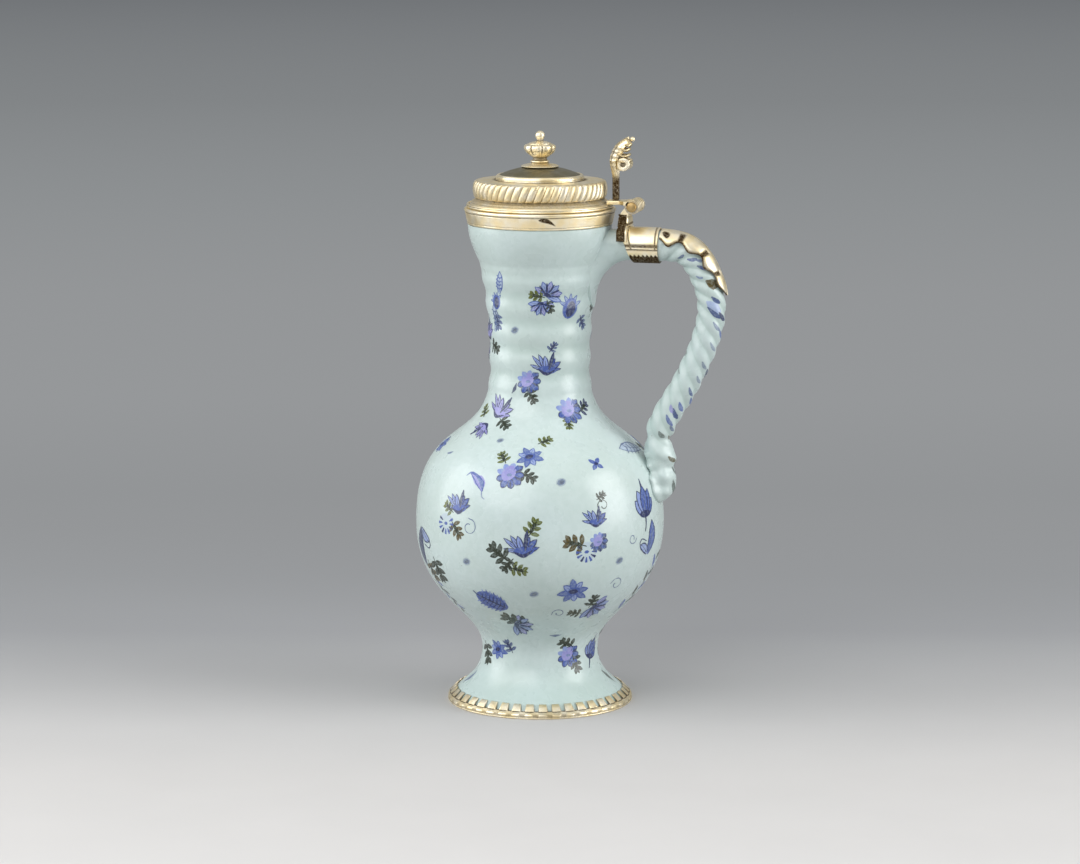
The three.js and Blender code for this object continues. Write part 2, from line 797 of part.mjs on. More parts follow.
function lidHingeArm() {
  const left = [
    [lidWallRadius, armWidth / 2],
    [hingeReach - barrelRadius - armFlare, armWidth / 2],
    [hingeReach - barrelRadius, hingeWidth / 2],
    [hingeReach, hingeWidth / 2],
  ];
  const outline = [...left.map(([x, y]) => [x, -y]), ...left.toReversed()];
  const plan = new THREE.Shape(outline.map(([x, y]) => new THREE.Vector2(x, y)));
  const plate = new THREE.ExtrudeGeometry(plan, { depth: armThickness, bevelEnabled: false });
  let solid = toManifold(plate.translate(0, 0, armBottom));
  for (const index of barrelIndexes.filter(isFixedBarrel)) {
    solid = solid.subtract(barrel(index, barrelRadius + hingeGap, hingeGap));
  }
  for (const index of barrelIndexes.filter((i) => !isFixedBarrel(i))) {
    solid = solid.add(barrel(index, barrelRadius, 0));
  }
  return fromManifold(solid.subtract(pinHole()));
}

function hingePin() {
  const end = hingeWidth / 2 + seatGap;
  const pin = turned([
    [0, -end - pinHeadHeight],
    [pinHeadRadius * 0.6, -end - pinHeadHeight * 0.85],
    [pinHeadRadius, -end - pinHeadHeight * 0.3],
    [pinHeadRadius, -end],
    [pinRadius, -end],
    [pinRadius, end + pinHeadHeight / 2],
    [0, end + pinHeadHeight / 2],
  ], pinFacets);
  return pin.rotateX(-Math.PI / 2).translate(hingeReach, 0, hingeHeight);
}

function hingePinCap() {
  const start = hingeWidth / 2 + seatGap;
  const boreEnd = start + pinHeadHeight / 2 + seatGap;
  const cap = turned([
    [0, boreEnd],
    [boreRadius, boreEnd],
    [boreRadius, start],
    [pinHeadRadius, start],
    [pinHeadRadius, start + pinHeadHeight * 0.4],
    [pinHeadRadius * 0.6, start + pinHeadHeight * 1.2],
    [0, start + pinHeadHeight * 1.4],
  ], pinFacets);
  return cap.rotateX(-Math.PI / 2).translate(hingeReach, 0, hingeHeight);
}

// Thumbpiece

const thumbX = hingeReach - thumbSetback;
const thumbFoot = armTop + seatGap;
const thumbPath = new THREE.CatmullRomCurve3([
  [0, 0],
  [0, 0.38],
  [0.04, 0.6],
  [0.22, 0.79],
  [0.58, 0.93],
  [1, 1],
].map(([lean, rise]) => new THREE.Vector3(thumbX + thumbLean * lean, 0, thumbFoot + thumbHeight * rise)));

// A stem that opens into a ribbed shell.
function thumbSection(share) {
  const place = thumbPath.getPointAt(share);
  const along = thumbPath.getTangentAt(share);
  const back = new THREE.Vector3(along.z, 0, -along.x);
  const open = smooth(share, 0.3, 0.68);
  const close = smooth(share, 0.82, 1.0);
  const width = THREE.MathUtils.lerp(thumbStemWidth, thumbShellWidth, open * (1 - close));
  const thickness = THREE.MathUtils.lerp(thumbStemThickness, thumbShellThickness, open);
  const count = thumbRibs * 2;
  const front = [];
  const rear = [];
  for (let k = 0; k <= count; k += 1) {
    const across = (k / count - 0.5) * width;
    const rib = (k % 2 === 0 ? -1 : 1) * thumbRibDepth * open;
    const curl = thumbCurl * open * (2 * k / count - 1) ** 2;
    const at = (offset) => place.clone()
      .addScaledVector(back, offset - curl)
      .add(new THREE.Vector3(0, across, 0));
    front.push(at(-thickness / 2 + rib * 0.3));
    rear.unshift(at(thickness / 2 + rib));
  }
  return [...front, ...rear];
}

function thumbpiece() {
  const shares = [0, 0.15, 0.3, 0.4, 0.5, 0.58, 0.66, 0.74, 0.82, 0.89, 0.95, 1];
  const shell = toManifold(loft(shares.map(thumbSection), false));
  const middle = thumbPath.getPointAt(0.56);
  const scrollX = middle.x + scrollRadius + scrollStand;
  const scroll = barAlongY(scrollRadius, -scrollWidth / 2, scrollWidth / 2, scrollX, middle.z, pinFacets);
  return fromManifold(shell.add(toManifold(scroll)));
}

function thumbpieceBead() {
  const tip = thumbPath.getPointAt(1);
  const place = tip.addScaledVector(thumbPath.getTangentAt(1), beadRadius + seatGap);
  return welded(new THREE.SphereGeometry(beadRadius, 12, 8).translate(place.x, place.y, place.z));
}

// Lid

const rimTop = lidSeat + rimHeight;
const coveTop = rimTop + coveHeight;
const gadroonTop = coveTop + gadroonHeight;
const plateauHeight = gadroonTop + lidTopRise;
const bezelOuter = mouthBore - seatGap - mouthSheet - mouthClearance;

// A hollow cap whose swelling side is worked into leaning gadroons.
function lidDome() {
  const middle = (coveTop + gadroonTop) / 2;
  const root = gadroonRadius - gadroonBulge;
  const rolls = arc(root, middle, gadroonBulge, gadroonHeight / 2, -gadroonSweep, gadroonSweep, 4);
  const inner = bezelOuter + seatGap;
  const stations = spread(0, 360, gadroonCount * 2);
  return ringLoft(stations, (degrees) => {
    const isRidge = Math.round((degrees * gadroonCount * 2) / 360) % 2 === 0;
    const swell = isRidge ? gadroonRise : -gadroonRise;
    return [
      [inner, lidSeat],
      [lidWallRadius, lidSeat],
      [lidWallRadius, rimTop],
      [lidWallRadius - coveDepth, coveTop - edgeBevel],
      ...rolls.map(([r, z], i) => [r + swell, z, ((z - middle) / gadroonHeight) * gadroonLean]),
      [lidTopRadius, gadroonTop],
      [plateauRadius, plateauHeight],
      [studBore, plateauHeight],
      [studBore, plateauHeight - lidSheet],
      [lidTopRadius - 2, plateauHeight - lidSheet],
      [inner, middle],
    ];
  });
}

function lidRimMoulding() {
  const inner = lidWallRadius + seatGap;
  return turnedRing([
    [inner, lidSeat],
    [inner + rimWidth * 0.8, lidSeat],
    [inner + rimWidth, lidSeat + rimHeight * 0.45],
    [inner + rimWidth * 0.8, rimTop],
    [inner, rimTop],
  ], wideFacets);
}

// A ring under the lid that drops into the mouth.
function lidBezel() {
  return turnedRing([
    [bezelOuter - bezelSheet, lidSeat - bezelDepth],
    [bezelOuter, lidSeat - bezelDepth],
    [bezelOuter, lidSeat + rimHeight],
    [bezelOuter - bezelSheet, lidSeat + rimHeight],
  ], wideFacets);
}

const discOuter = ringRadius - ringWidth - seatGap;
const discTop = plateauHeight + ringHeight + discRise;

function discRing() {
  return turnedRing([
    [ringRadius - ringWidth, plateauHeight],
    [ringRadius, plateauHeight],
    [ringRadius, plateauHeight + ringHeight * 0.6],
    [ringRadius - ringWidth * 0.4, plateauHeight + ringHeight],
    [ringRadius - ringWidth, plateauHeight + ringHeight],
  ], middleFacets);
}

// The dome's rise at a radius: a shallow bowl turned over.
const discHeight = (r) => plateauHeight + ringHeight + discRise * (1 - (r / discOuter) ** 2);

function lidDisc() {
  const rings = [1, 0.75, 0.5].map((share) => discOuter * share);
  return turnedRing([
    [discOuter - discSheet, plateauHeight],
    [discOuter, plateauHeight],
    ...rings.map((r) => [r, discHeight(r)]),
    [studBore, discTop],
    [studBore, discTop - discSheet],
    ...rings.toReversed().map((r) => [r - discSheet, discHeight(r) - discSheet]),
  ], middleFacets);
}

// Finial

const finialSeat = discTop + seatGap;
const cupSeat = finialSeat + finialBaseHeight;
const tipSeat = cupSeat + cupHeight;

function finialBase() {
  const edge = discHeight(finialBaseRadius) + seatGap * 2;
  return turnedRing([
    [studBore, finialSeat],
    [finialBaseRadius - 0.3, edge],
    [finialBaseRadius, edge + 0.5],
    [finialBaseRadius * 0.6, finialSeat + 1],
    [knopRadius, finialSeat + 1.6],
    [knopRadius, finialSeat + 2.3],
    [knopNeck, finialSeat + 2.9],
    [knopNeck, cupSeat],
    [studBore, cupSeat],
  ], smallFacets);
}

function finialCup() {
  const stations = spread(0, 360, cupLobes * 4);
  return ringLoft(stations, (degrees) => {
    const lobe = cupLobeRise * Math.cos(THREE.MathUtils.degToRad(degrees * cupLobes));
    return [
      [studBore, cupSeat],
      [cupFoot, cupSeat],
      [cupFoot + 1.3 + lobe * 0.4, cupSeat + cupHeight * 0.16],
      [cupRadius * 0.92 + lobe, cupSeat + cupHeight * 0.5],
      [cupRadius + lobe, cupSeat + cupHeight * 0.78],
      [cupRadius * 0.93 + lobe * 0.6, tipSeat - 0.3],
      [tipRadius, tipSeat],
      [studBore, tipSeat],
    ];
  });
}

function finialTip() {
  const ballCentre = tipSeat + tipHeight - ballRadius;
  return turned([
    [0, tipSeat + 1.4],
    [studBore, tipSeat + 1.4],
    [studBore, tipSeat],
    [tipRadius, tipSeat],
    [tipRadius * 0.9, tipSeat + 0.9],
    [ballRadius, tipSeat + 1.6],
    ...arc(0, ballCentre, ballRadius, ballRadius, ...ballSweep, 4),
    [0, tipSeat + tipHeight],
  ], smallFacets);
}

const washerTop = plateauHeight - lidSheet;
const nutTop = washerTop - washerThickness;

function finialStud() {
  return turned([
    [0, nutTop - nutHeight - studTail],
    [studRadius, nutTop - nutHeight - studTail],
    [studRadius, tipSeat + 1.1],
    [0, tipSeat + 1.1],
  ], 12);
}

const flatRing = (outer, bottom, top, facets) => turnedRing([
  [studBore, bottom],
  [outer, bottom],
  [outer, top],
  [studBore, top],
], facets);

// Assembly

addMesh(group, 'faience_body', faienceBody(), glaze);
addMesh(group, 'faience_handle', faienceHandle(), glaze);
addMesh(group, 'foot_base_moulding', footBaseMoulding(), gilt);
addMesh(group, 'foot_dentil_collar', footDentilCollar(), gilt);
addMesh(group, 'mouth_collar', mouthCollar(), gilt);
addMesh(group, 'strap_saddle', strapSaddle(), gilt);
addMesh(group, 'strap_underband', strapUnderband(), gilt);
addMesh(group, 'strap_tail', strapTail(), gilt);
addMesh(group, 'hinge_standard', hingeStandard(), gilt);
addMesh(group, 'hinge_pin', hingePin(), darkGilt);
addMesh(group, 'hinge_pin_cap', hingePinCap(), darkGilt);

addMesh(lid, 'lid_hinge_arm', lidHingeArm(), gilt);
addMesh(lid, 'thumbpiece', thumbpiece(), gilt);
addMesh(lid, 'thumbpiece_bead', thumbpieceBead(), gilt);
addMesh(lid, 'lid_dome', lidDome(), gilt);
addMesh(lid, 'lid_rim_moulding', lidRimMoulding(), gilt);
addMesh(lid, 'lid_bezel', lidBezel(), gilt);
addMesh(lid, 'lid_disc_ring', discRing(), gilt);
addMesh(lid, 'lid_disc', lidDisc(), darkGilt);
addMesh(lid, 'finial_base', finialBase(), gilt);
addMesh(lid, 'finial_cup', finialCup(), gilt);
addMesh(lid, 'finial_tip', finialTip(), gilt);
addMesh(lid, 'finial_stud', finialStud(), darkGilt);
addMesh(lid, 'finial_washer', flatRing(washerRadius, nutTop, washerTop, smallFacets), darkGilt);
addMesh(lid, 'finial_nut', flatRing(nutRadius, nutTop - nutHeight, nutTop, 6), darkGilt);
group.add(lid);

// The whole is set down on the middle of its box.
const middle = new THREE.Box3().setFromObject(group).getCenter(new THREE.Vector3());
group.position.x = -middle.x;
group.updateMatrixWorld(true);

export default group;
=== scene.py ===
"""A silver-mounted faience jug: its glaze, its painted sprigs, its gilt mounts and a studio to see it in.

Sizes are in millimetres about the jug's own axis, with the handle towards +X and the foot on zero. They
become metres in the part's frame when a mesh is made.
"""

import logging
import math
from dataclasses import dataclass, field
from enum import Enum
from math import cos, hypot, pi, radians, sin, sqrt
from typing import Callable, Iterable, Protocol, Sequence

import bmesh
import bpy
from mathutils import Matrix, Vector, noise

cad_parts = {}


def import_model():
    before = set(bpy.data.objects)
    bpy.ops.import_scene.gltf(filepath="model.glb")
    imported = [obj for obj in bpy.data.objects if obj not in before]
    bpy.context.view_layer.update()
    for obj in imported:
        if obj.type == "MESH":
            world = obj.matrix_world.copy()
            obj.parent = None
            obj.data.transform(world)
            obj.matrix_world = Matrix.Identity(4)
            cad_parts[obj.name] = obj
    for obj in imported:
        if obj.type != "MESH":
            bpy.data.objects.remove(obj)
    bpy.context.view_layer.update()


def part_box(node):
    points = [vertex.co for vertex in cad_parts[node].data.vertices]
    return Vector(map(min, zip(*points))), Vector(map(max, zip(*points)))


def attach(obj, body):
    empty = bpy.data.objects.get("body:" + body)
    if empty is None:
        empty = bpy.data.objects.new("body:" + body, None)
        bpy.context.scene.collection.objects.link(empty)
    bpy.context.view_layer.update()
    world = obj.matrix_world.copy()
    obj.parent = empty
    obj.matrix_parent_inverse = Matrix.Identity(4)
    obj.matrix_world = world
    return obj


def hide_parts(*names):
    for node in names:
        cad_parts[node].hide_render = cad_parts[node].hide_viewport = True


log = logging.getLogger("jug")

MILLIMETRE = 0.001
FRONT = -76.0
SEAT_GAP = 0.3
HINGE_GAP = 0.3

Pair = tuple[float, float]
Triple = tuple[float, float, float]
Shade = tuple[float, float, float, float]
Socket = bpy.types.NodeSocket


# Numbers and curves


def mix(low: float, high: float, share: float) -> float:
    """Goes from one number to another by a share."""
    return low + (high - low) * share


def smooth(value: float, low: float, high: float) -> float:
    """Rises softly from 0 to 1 between two numbers."""
    share = min(max((value - low) / (high - low), 0.0), 1.0)
    return share * share * (3.0 - 2.0 * share)


def fall(value: float, low: float, high: float) -> float:
    """Falls softly from 1 to 0 between two numbers."""
    return 1.0 - smooth(value, low, high)


def spread(low: float, high: float, count: int) -> list[float]:
    """Gives evenly spaced numbers from low to high, both included."""
    return [mix(low, high, i / (count - 1)) for i in range(count)]


def turns(count: int) -> list[float]:
    """Gives the angles in degrees of evenly spaced stations once round."""
    return [360.0 * i / count for i in range(count)]


def swung(point: Pair, degrees: float, base: Pair = (0.0, 0.0)) -> Pair:
    """Turns a flat point clockwise about nought and then moves it by the base."""
    along, aside = cos(radians(degrees)), sin(radians(degrees))
    return point[0] * along + point[1] * aside + base[0], point[1] * along - point[0] * aside + base[1]


def bezier(points: Sequence[Pair], count: int) -> list[Pair]:
    """Samples a cubic curve of four points."""
    result = []
    for t in spread(0.0, 1.0, count):
        weights = ((1 - t) ** 3, 3 * t * (1 - t) ** 2, 3 * t * t * (1 - t), t ** 3)
        result.append(tuple(sum(w * p[axis] for w, p in zip(weights, points)) for axis in (0, 1)))
    return result


def arc(centre: Pair, radii: Pair, start: float, end: float, count: int) -> list[Pair]:
    """Samples an arc of an ellipse between two angles in degrees."""
    return [(centre[0] + radii[0] * cos(radians(a)), centre[1] + radii[1] * sin(radians(a)))
            for a in spread(start, end, count)]


def stepped(place: Pair, *steps: Pair) -> list[Pair]:
    """Gives the points that lie so many steps out and up from a place."""
    return [(place[0] + out, place[1] + up) for out, up in steps]


def oval(centre: Vector, across: float, up: float, count: int) -> list[Vector]:
    """Gives an upright oval section about a place."""
    phases = [2 * pi * k / count for k in range(count)]
    return [centre + Vector((0.0, across * cos(a), up * sin(a))) for a in phases]


def rounded(outline: Sequence[Pair], radius: float, steps: int = 3, closed: bool = True) -> list[Pair]:
    """Rounds the corners of an outline.

    Args:
        outline: Corners in order.
        radius: How far from a corner its rounding starts, less where an edge is short.
        steps: Points of each rounding, less one.
        closed: Whether the last corner joins the first.

    Returns:
        The rounded outline.
    """
    count = len(outline)
    result: list[Pair] = []
    for i, corner in enumerate(outline):
        if not closed and i in (0, count - 1):
            result.append(corner)
            continue
        here = Vector(corner)
        before = Vector(outline[i - 1]) - here
        after = Vector(outline[(i + 1) % count]) - here
        first, last = (here + side.normalized() * min(radius, side.length * 0.45) for side in (before, after))
        for t in spread(0.0, 1.0, steps + 1):
            point = first * (1 - t) ** 2 + here * 2 * t * (1 - t) + last * t * t
            result.append((point.x, point.y))
    return result


def through(points: Sequence[Vector], count: int) -> list[Vector]:
    """Samples a soft curve that passes through the points, at even distances along it."""
    ends = [points[0] * 2 - points[1], *points, points[-1] * 2 - points[-2]]
    dense: list[Vector] = []
    for p0, p1, p2, p3 in zip(ends, ends[1:], ends[2:], ends[3:]):
        a, b, c = [max((q - p).length, 1e-6) ** 0.5 for p, q in ((p0, p1), (p1, p2), (p2, p3))]
        lead = ((p1 - p0) / a - (p2 - p0) / (a + b) + (p2 - p1) / b) * b
        tail = ((p2 - p1) / b - (p3 - p1) / (b + c) + (p3 - p2) / c) * b
        for t in spread(0.0, 1.0, 33)[:-1]:
            square, cube = t * t, t * t * t
            dense.append(p1 * (2 * cube - 3 * square + 1) + lead * (cube - 2 * square + t)
                         + p2 * (3 * square - 2 * cube) + tail * (cube - square))
    dense.append(points[-1])
    lengths = [0.0]
    for p, q in zip(dense, dense[1:]):
        lengths.append(lengths[-1] + (q - p).length)
    result = []
    k = 0
    for target in spread(0.0, lengths[-1], count):
        while k < len(dense) - 2 and lengths[k + 1] < target:
            k += 1
        share = (target - lengths[k]) / max(lengths[k + 1] - lengths[k], 1e-9)
        result.append(dense[k].lerp(dense[k + 1], min(max(share, 0.0), 1.0)))
    return result


def tone(code: str) -> Shade:
    """Turns a colour written as rrggbb into the linear one that shaders use."""
    values = [int(code[i:i + 2], 16) / 255 for i in (0, 2, 4)]
    return (*(v / 12.92 if v <= 0.04045 else ((v + 0.055) / 1.055) ** 2.4 for v in values), 1.0)


# Meshes


@dataclass
class Spot:
    """A point of a turned outline: its radius, its height, its darkening from hollows and painted shade, and
    its turn in degrees.
    """

    out: float
    up: float
    recess_and_shade: float = 0.0
    turn: float = 0.0


def plain(outline: Iterable[Pair], recess_and_shade: float = 0.0) -> list[Spot]:
    """Makes spots of an outline, all equally deep."""
    return [Spot(out, up, recess_and_shade) for out, up in outline]


@dataclass
class Skin:
    """A mesh in the making, with its corners' darkening from hollows and painted shade, and the paint and
    normals of strokes.
    """

    points: list[Vector] = field(default_factory=list)
    faces: list[tuple[int, ...]] = field(default_factory=list)
    recess_and_shade: list[float] = field(default_factory=list)
    paint: list[Shade] = field(default_factory=list)
    normals: list[Vector] = field(default_factory=list)

    @classmethod
    def turned(cls, stations: Sequence[float], section: Callable[[float], list[Spot]], closed: bool = True
               ) -> "Skin":
        """Sweeps an outline about the jug's axis.

        Args:
            stations: Angles in degrees, once round.
            section: Gives the outline's spots at an angle, always as many, upwards on its outer side.
            closed: Whether the outline ends where it starts. An open one starts and ends on the axis.

        Returns:
            The swept skin.
        """
        skin = cls()
        for angle in stations:
            for spot in section(angle):
                turn = radians(angle + spot.turn)
                skin.points.append(Vector((spot.out * cos(turn), spot.out * sin(turn), spot.up)))
                skin.recess_and_shade.append(spot.recess_and_shade)
        count = len(stations)
        width = len(skin.points) // count
        for i in range(count):
            here, after = i * width, (i + 1) % count * width
            for k in range(width if closed else width - 1):
                up = (k + 1) % width
                if not closed and k == 0:
                    skin.faces.append((0, after + up, here + up))
                elif not closed and k == width - 2:
                    skin.faces.append((here + k, after + k, up))
                else:
                    skin.faces.append((here + k, after + k, after + up, here + up))
        return skin

    @classmethod
    def spun(cls, outline: Iterable[Pair], facets: int, closed: bool = True,
             recess_and_shade: Callable[[float, float], float] = lambda out, up: 0.0) -> "Skin":
        """Sweeps one outline about the jug's axis.

        Args:
            outline: Radii and heights, upwards on its outer side.
            facets: How many stations it has once round.
            closed: Whether the outline ends where it starts.
            recess_and_shade: How dark a corner is, from hollows and painted shade, from its radius and height.

        Returns:
            The swept skin.
        """
        spots = [Spot(out, up, recess_and_shade(out, up)) for out, up in outline]
        return cls.turned(turns(facets), lambda _: spots, closed)

    def loft(self, rows: Sequence[Sequence[Vector]], recess_and_shade: Callable[[int, int], float] = lambda i, k: 0.0
             ) -> "Skin":
        """Joins closed sections of as many points each.

        Args:
            rows: The sections, each with its second half across from its first, so that an end can be closed.
            recess_and_shade: How dark a corner is, from hollows and painted shade, from its row and column.

        Returns:
            This skin.
        """
        base = len(self.points)
        width = len(rows[0])
        end = base + (len(rows) - 1) * width
        for i, row in enumerate(rows):
            self.points += row
            self.recess_and_shade += [recess_and_shade(i, k) for k in range(width)]
        for here in range(base, end, width):
            for k in range(width):
                side = (k + 1) % width
                self.faces.append((here + k, here + side, here + width + side, here + width + k))
        for k in range(width // 2 - 1):
            self.faces.append((base + width - 1 - k, base + width - 2 - k, base + k + 1, base + k))
            self.faces.append((end + k, end + k + 1, end + width - 2 - k, end + width - 1 - k))
        return self

    def moved(self, move: Callable[[Vector], Vector]) -> "Skin":
        """Moves all corners, and gives this skin."""
        self.points = [move(p) for p in self.points]
        return self

    def take(self, other: "Skin") -> None:
        """Adds another skin."""
        base = len(self.points)
        self.points += other.points
        self.recess_and_shade += other.recess_and_shade
        self.faces += [tuple(base + i for i in face) for face in other.faces]


# Finishes


class Graph:
    """The nodes of one material."""

    def __init__(self, name: str) -> None:
        """Starts a material that has its shader and its places."""
        self.material = bpy.data.materials.new(name)
        self.material.use_nodes = True
        self.tree = self.material.node_tree
        self.shader = self.tree.nodes["Principled BSDF"]
        self.place = self.node("ShaderNodeTexCoord").outputs["Object"]

    def node(self, kind: str, values: dict | None = None, **settings: object) -> bpy.types.Node:
        """Adds a node.

        Args:
            kind: Type of the node.
            values: What its inputs are set to, or the sockets they are joined to, by name or number.
            settings: Its properties.

        Returns:
            The node.
        """
        node = self.tree.nodes.new(kind)
        for key, value in settings.items():
            setattr(node, key, value)
        self.fill(node, values or {})
        return node

    def fill(self, node: bpy.types.Node, values: dict) -> None:
        """Sets inputs of a node, or joins them to sockets."""
        for key, value in values.items():
            if isinstance(value, Socket):
                self.tree.links.new(value, node.inputs[key])
            else:
                node.inputs[key].default_value = value

    def noise(self, size: float, detail: float = 2.0, stretch: Triple | None = None) -> Socket:
        """Gives cloudy noise whose patches are about so many millimetres wide."""
        place = self.place
        if stretch:
            place = self.node("ShaderNodeMapping", {"Vector": place, "Scale": stretch}).outputs["Vector"]
        values = {"Vector": place, "Scale": 1 / (size * MILLIMETRE), "Detail": detail}
        return self.node("ShaderNodeTexNoise", values).outputs["Fac"]

    def remap(self, value: Socket, low: float, high: float, to_low: float, to_high: float) -> Socket:
        """Stretches a range of values onto another, cut off at its ends."""
        values = {"Value": value, "From Min": low, "From Max": high, "To Min": to_low, "To Max": to_high}
        return self.node("ShaderNodeMapRange", values).outputs["Result"]

    def calc(self, first: object, second: object, operation: str = "MULTIPLY", clamp: bool = False) -> Socket:
        """Works out one number from two."""
        node = self.node("ShaderNodeMath", {0: first, 1: second}, operation=operation, use_clamp=clamp)
        return node.outputs[0]

    def blend(self, share: object, low: object, high: object) -> Socket:
        """Blends two colours."""
        values = {0: share, 6: low, 7: high}
        return self.node("ShaderNodeMix", values, data_type="RGBA").outputs[2]

    def bump(self, *layers: tuple[Socket, float]) -> Socket:
        """Turns heights into bumps of so many millimetres, one over the other."""
        normal: dict = {}
        for height, depth in layers:
            values = {"Height": height, "Distance": depth * MILLIMETRE, "Strength": 1.0, **normal}
            normal = {"Normal": self.node("ShaderNodeBump", values).outputs["Normal"]}
        return normal["Normal"]

    def carried(self, name: str) -> bpy.types.Node:
        """Reads what the mesh's corners carry."""
        return self.node("ShaderNodeAttribute", attribute_name=name)


@dataclass(frozen=True)
class GlazeFinish:
    """A thick, cool white tin glaze, greener where it pools, darker where painted shade lies, with pits and a
    lively surface.
    """

    name: str = "tin_glaze"
    body: Shade = tone("ccdbda")
    cloud: Shade = tone("c4d3cf")
    pooled_and_shade: Shade = tone("a0b9b0")
    speck: Shade = tone("6d6a5e")
    pits_per_metre: float = 190.0
    pit_radius: float = 0.055
    pit_rarity: float = 0.86

    def material(self, painted: bool = False) -> bpy.types.Material:
        """Makes the material, with or without the pigment that strokes carry."""
        graph = Graph(self.name + ("_painted" if painted else ""))
        colour = graph.blend(graph.remap(graph.noise(38, 3), 0.35, 0.65, 0.0, 1.0), self.body, self.cloud)
        colour = graph.blend(graph.remap(graph.noise(2.6, 2), 0.3, 0.7, 0.0, 0.16), colour, self.pooled_and_shade)
        # Painted shade: where the mesh marks it, besides glaze pooling in hollows, the glaze is blended towards
        # the greener tone.
        colour = graph.blend(graph.carried("recess_and_shade").outputs["Fac"], colour, self.pooled_and_shade)
        pits = graph.node("ShaderNodeTexVoronoi", {"Vector": graph.place, "Scale": self.pits_per_metre})
        chosen = graph.node("ShaderNodeSeparateColor", {"Color": pits.outputs["Color"]}).outputs["Red"]
        near = graph.calc(pits.outputs["Distance"], self.pit_radius, "LESS_THAN")
        pit = graph.calc(near, graph.calc(chosen, self.pit_rarity, "GREATER_THAN"))
        colour = graph.blend(graph.calc(pit, 0.55), colour, self.speck)
        if painted:
            paint = graph.carried("paint")
            thin = graph.remap(graph.noise(1.1, 4), 0.34, 0.6, 0.82, 1.1)
            cover = graph.calc(paint.outputs["Alpha"], thin, clamp=True)
            colour = graph.blend(cover, colour, paint.outputs["Color"])
        normal = graph.bump((graph.noise(14, 2), 0.16), (graph.noise(1.5, 2), 0.012), (pit, -0.015))
        rough = graph.remap(graph.noise(9, 3), 0.3, 0.7, 0.24, 0.34)
        graph.fill(graph.shader, {"Base Color": colour, "Roughness": rough, "Normal": normal, "IOR": 1.5,
                                  "Coat Weight": 0.2, "Coat Roughness": 0.2})
        return graph.material


@dataclass(frozen=True)
class GiltFinish:
    """Pale gilding on silver, thin on what is handled, tarnished brown in hollows and darkened as painted
    shade.
    """

    name: str
    gold: Shade = tone("f8e6ba")
    worn: Shade = tone("f9efd6")
    haze: float = 0.0
    tarnish_and_shade: Shade = tone("3f2c12")
    scratch_stretch: Triple = (1.0, 1.0, 9.0)

    def material(self) -> bpy.types.Material:
        """Makes the material."""
        graph = Graph(self.name)
        colour = graph.blend(graph.remap(graph.noise(7, 4), 0.42, 0.62, 0.0, 1.0), self.gold, self.worn)
        stain = graph.remap(graph.noise(3.2, 5), 0.52, 0.78, self.haze * 0.4, 0.09 + self.haze)
        colour = graph.blend(stain, colour, self.tarnish_and_shade)
        ragged = graph.remap(graph.noise(0.8, 4), 0.3, 0.7, 0.75, 1.15)
        # Painted shade: the mesh marks tarnish in hollows together with painted shade and painted dark
        # reflections, all laid on in one brown.
        tarnish_and_shade_mask = graph.calc(graph.carried("recess_and_shade").outputs["Fac"], ragged, clamp=True)
        colour = graph.blend(tarnish_and_shade_mask, colour, self.tarnish_and_shade)
        rough = graph.remap(graph.noise(5, 4), 0.3, 0.7, 0.33, 0.46)
        rough = graph.calc(rough, graph.calc(tarnish_and_shade_mask, 0.35), "ADD", clamp=True)
        normal = graph.bump((graph.noise(2.4, 1), 0.045), (graph.noise(0.35, 2, self.scratch_stretch), 0.012))
        looks = {"Base Color": colour, "Metallic": 1.0, "Roughness": rough, "Normal": normal}
        graph.fill(graph.shader, looks)
        return graph.material


class Finish(Enum):
    """What a piece can be finished in, as a number and the record's slot that it belongs to."""

    GLAZE = (1, "glaze")
    PAINTED = (2, "glaze")
    GILT = (3, "gilt")
    DARK = (4, "dark_gilt")
    BROWN = (5, "dark_gilt")


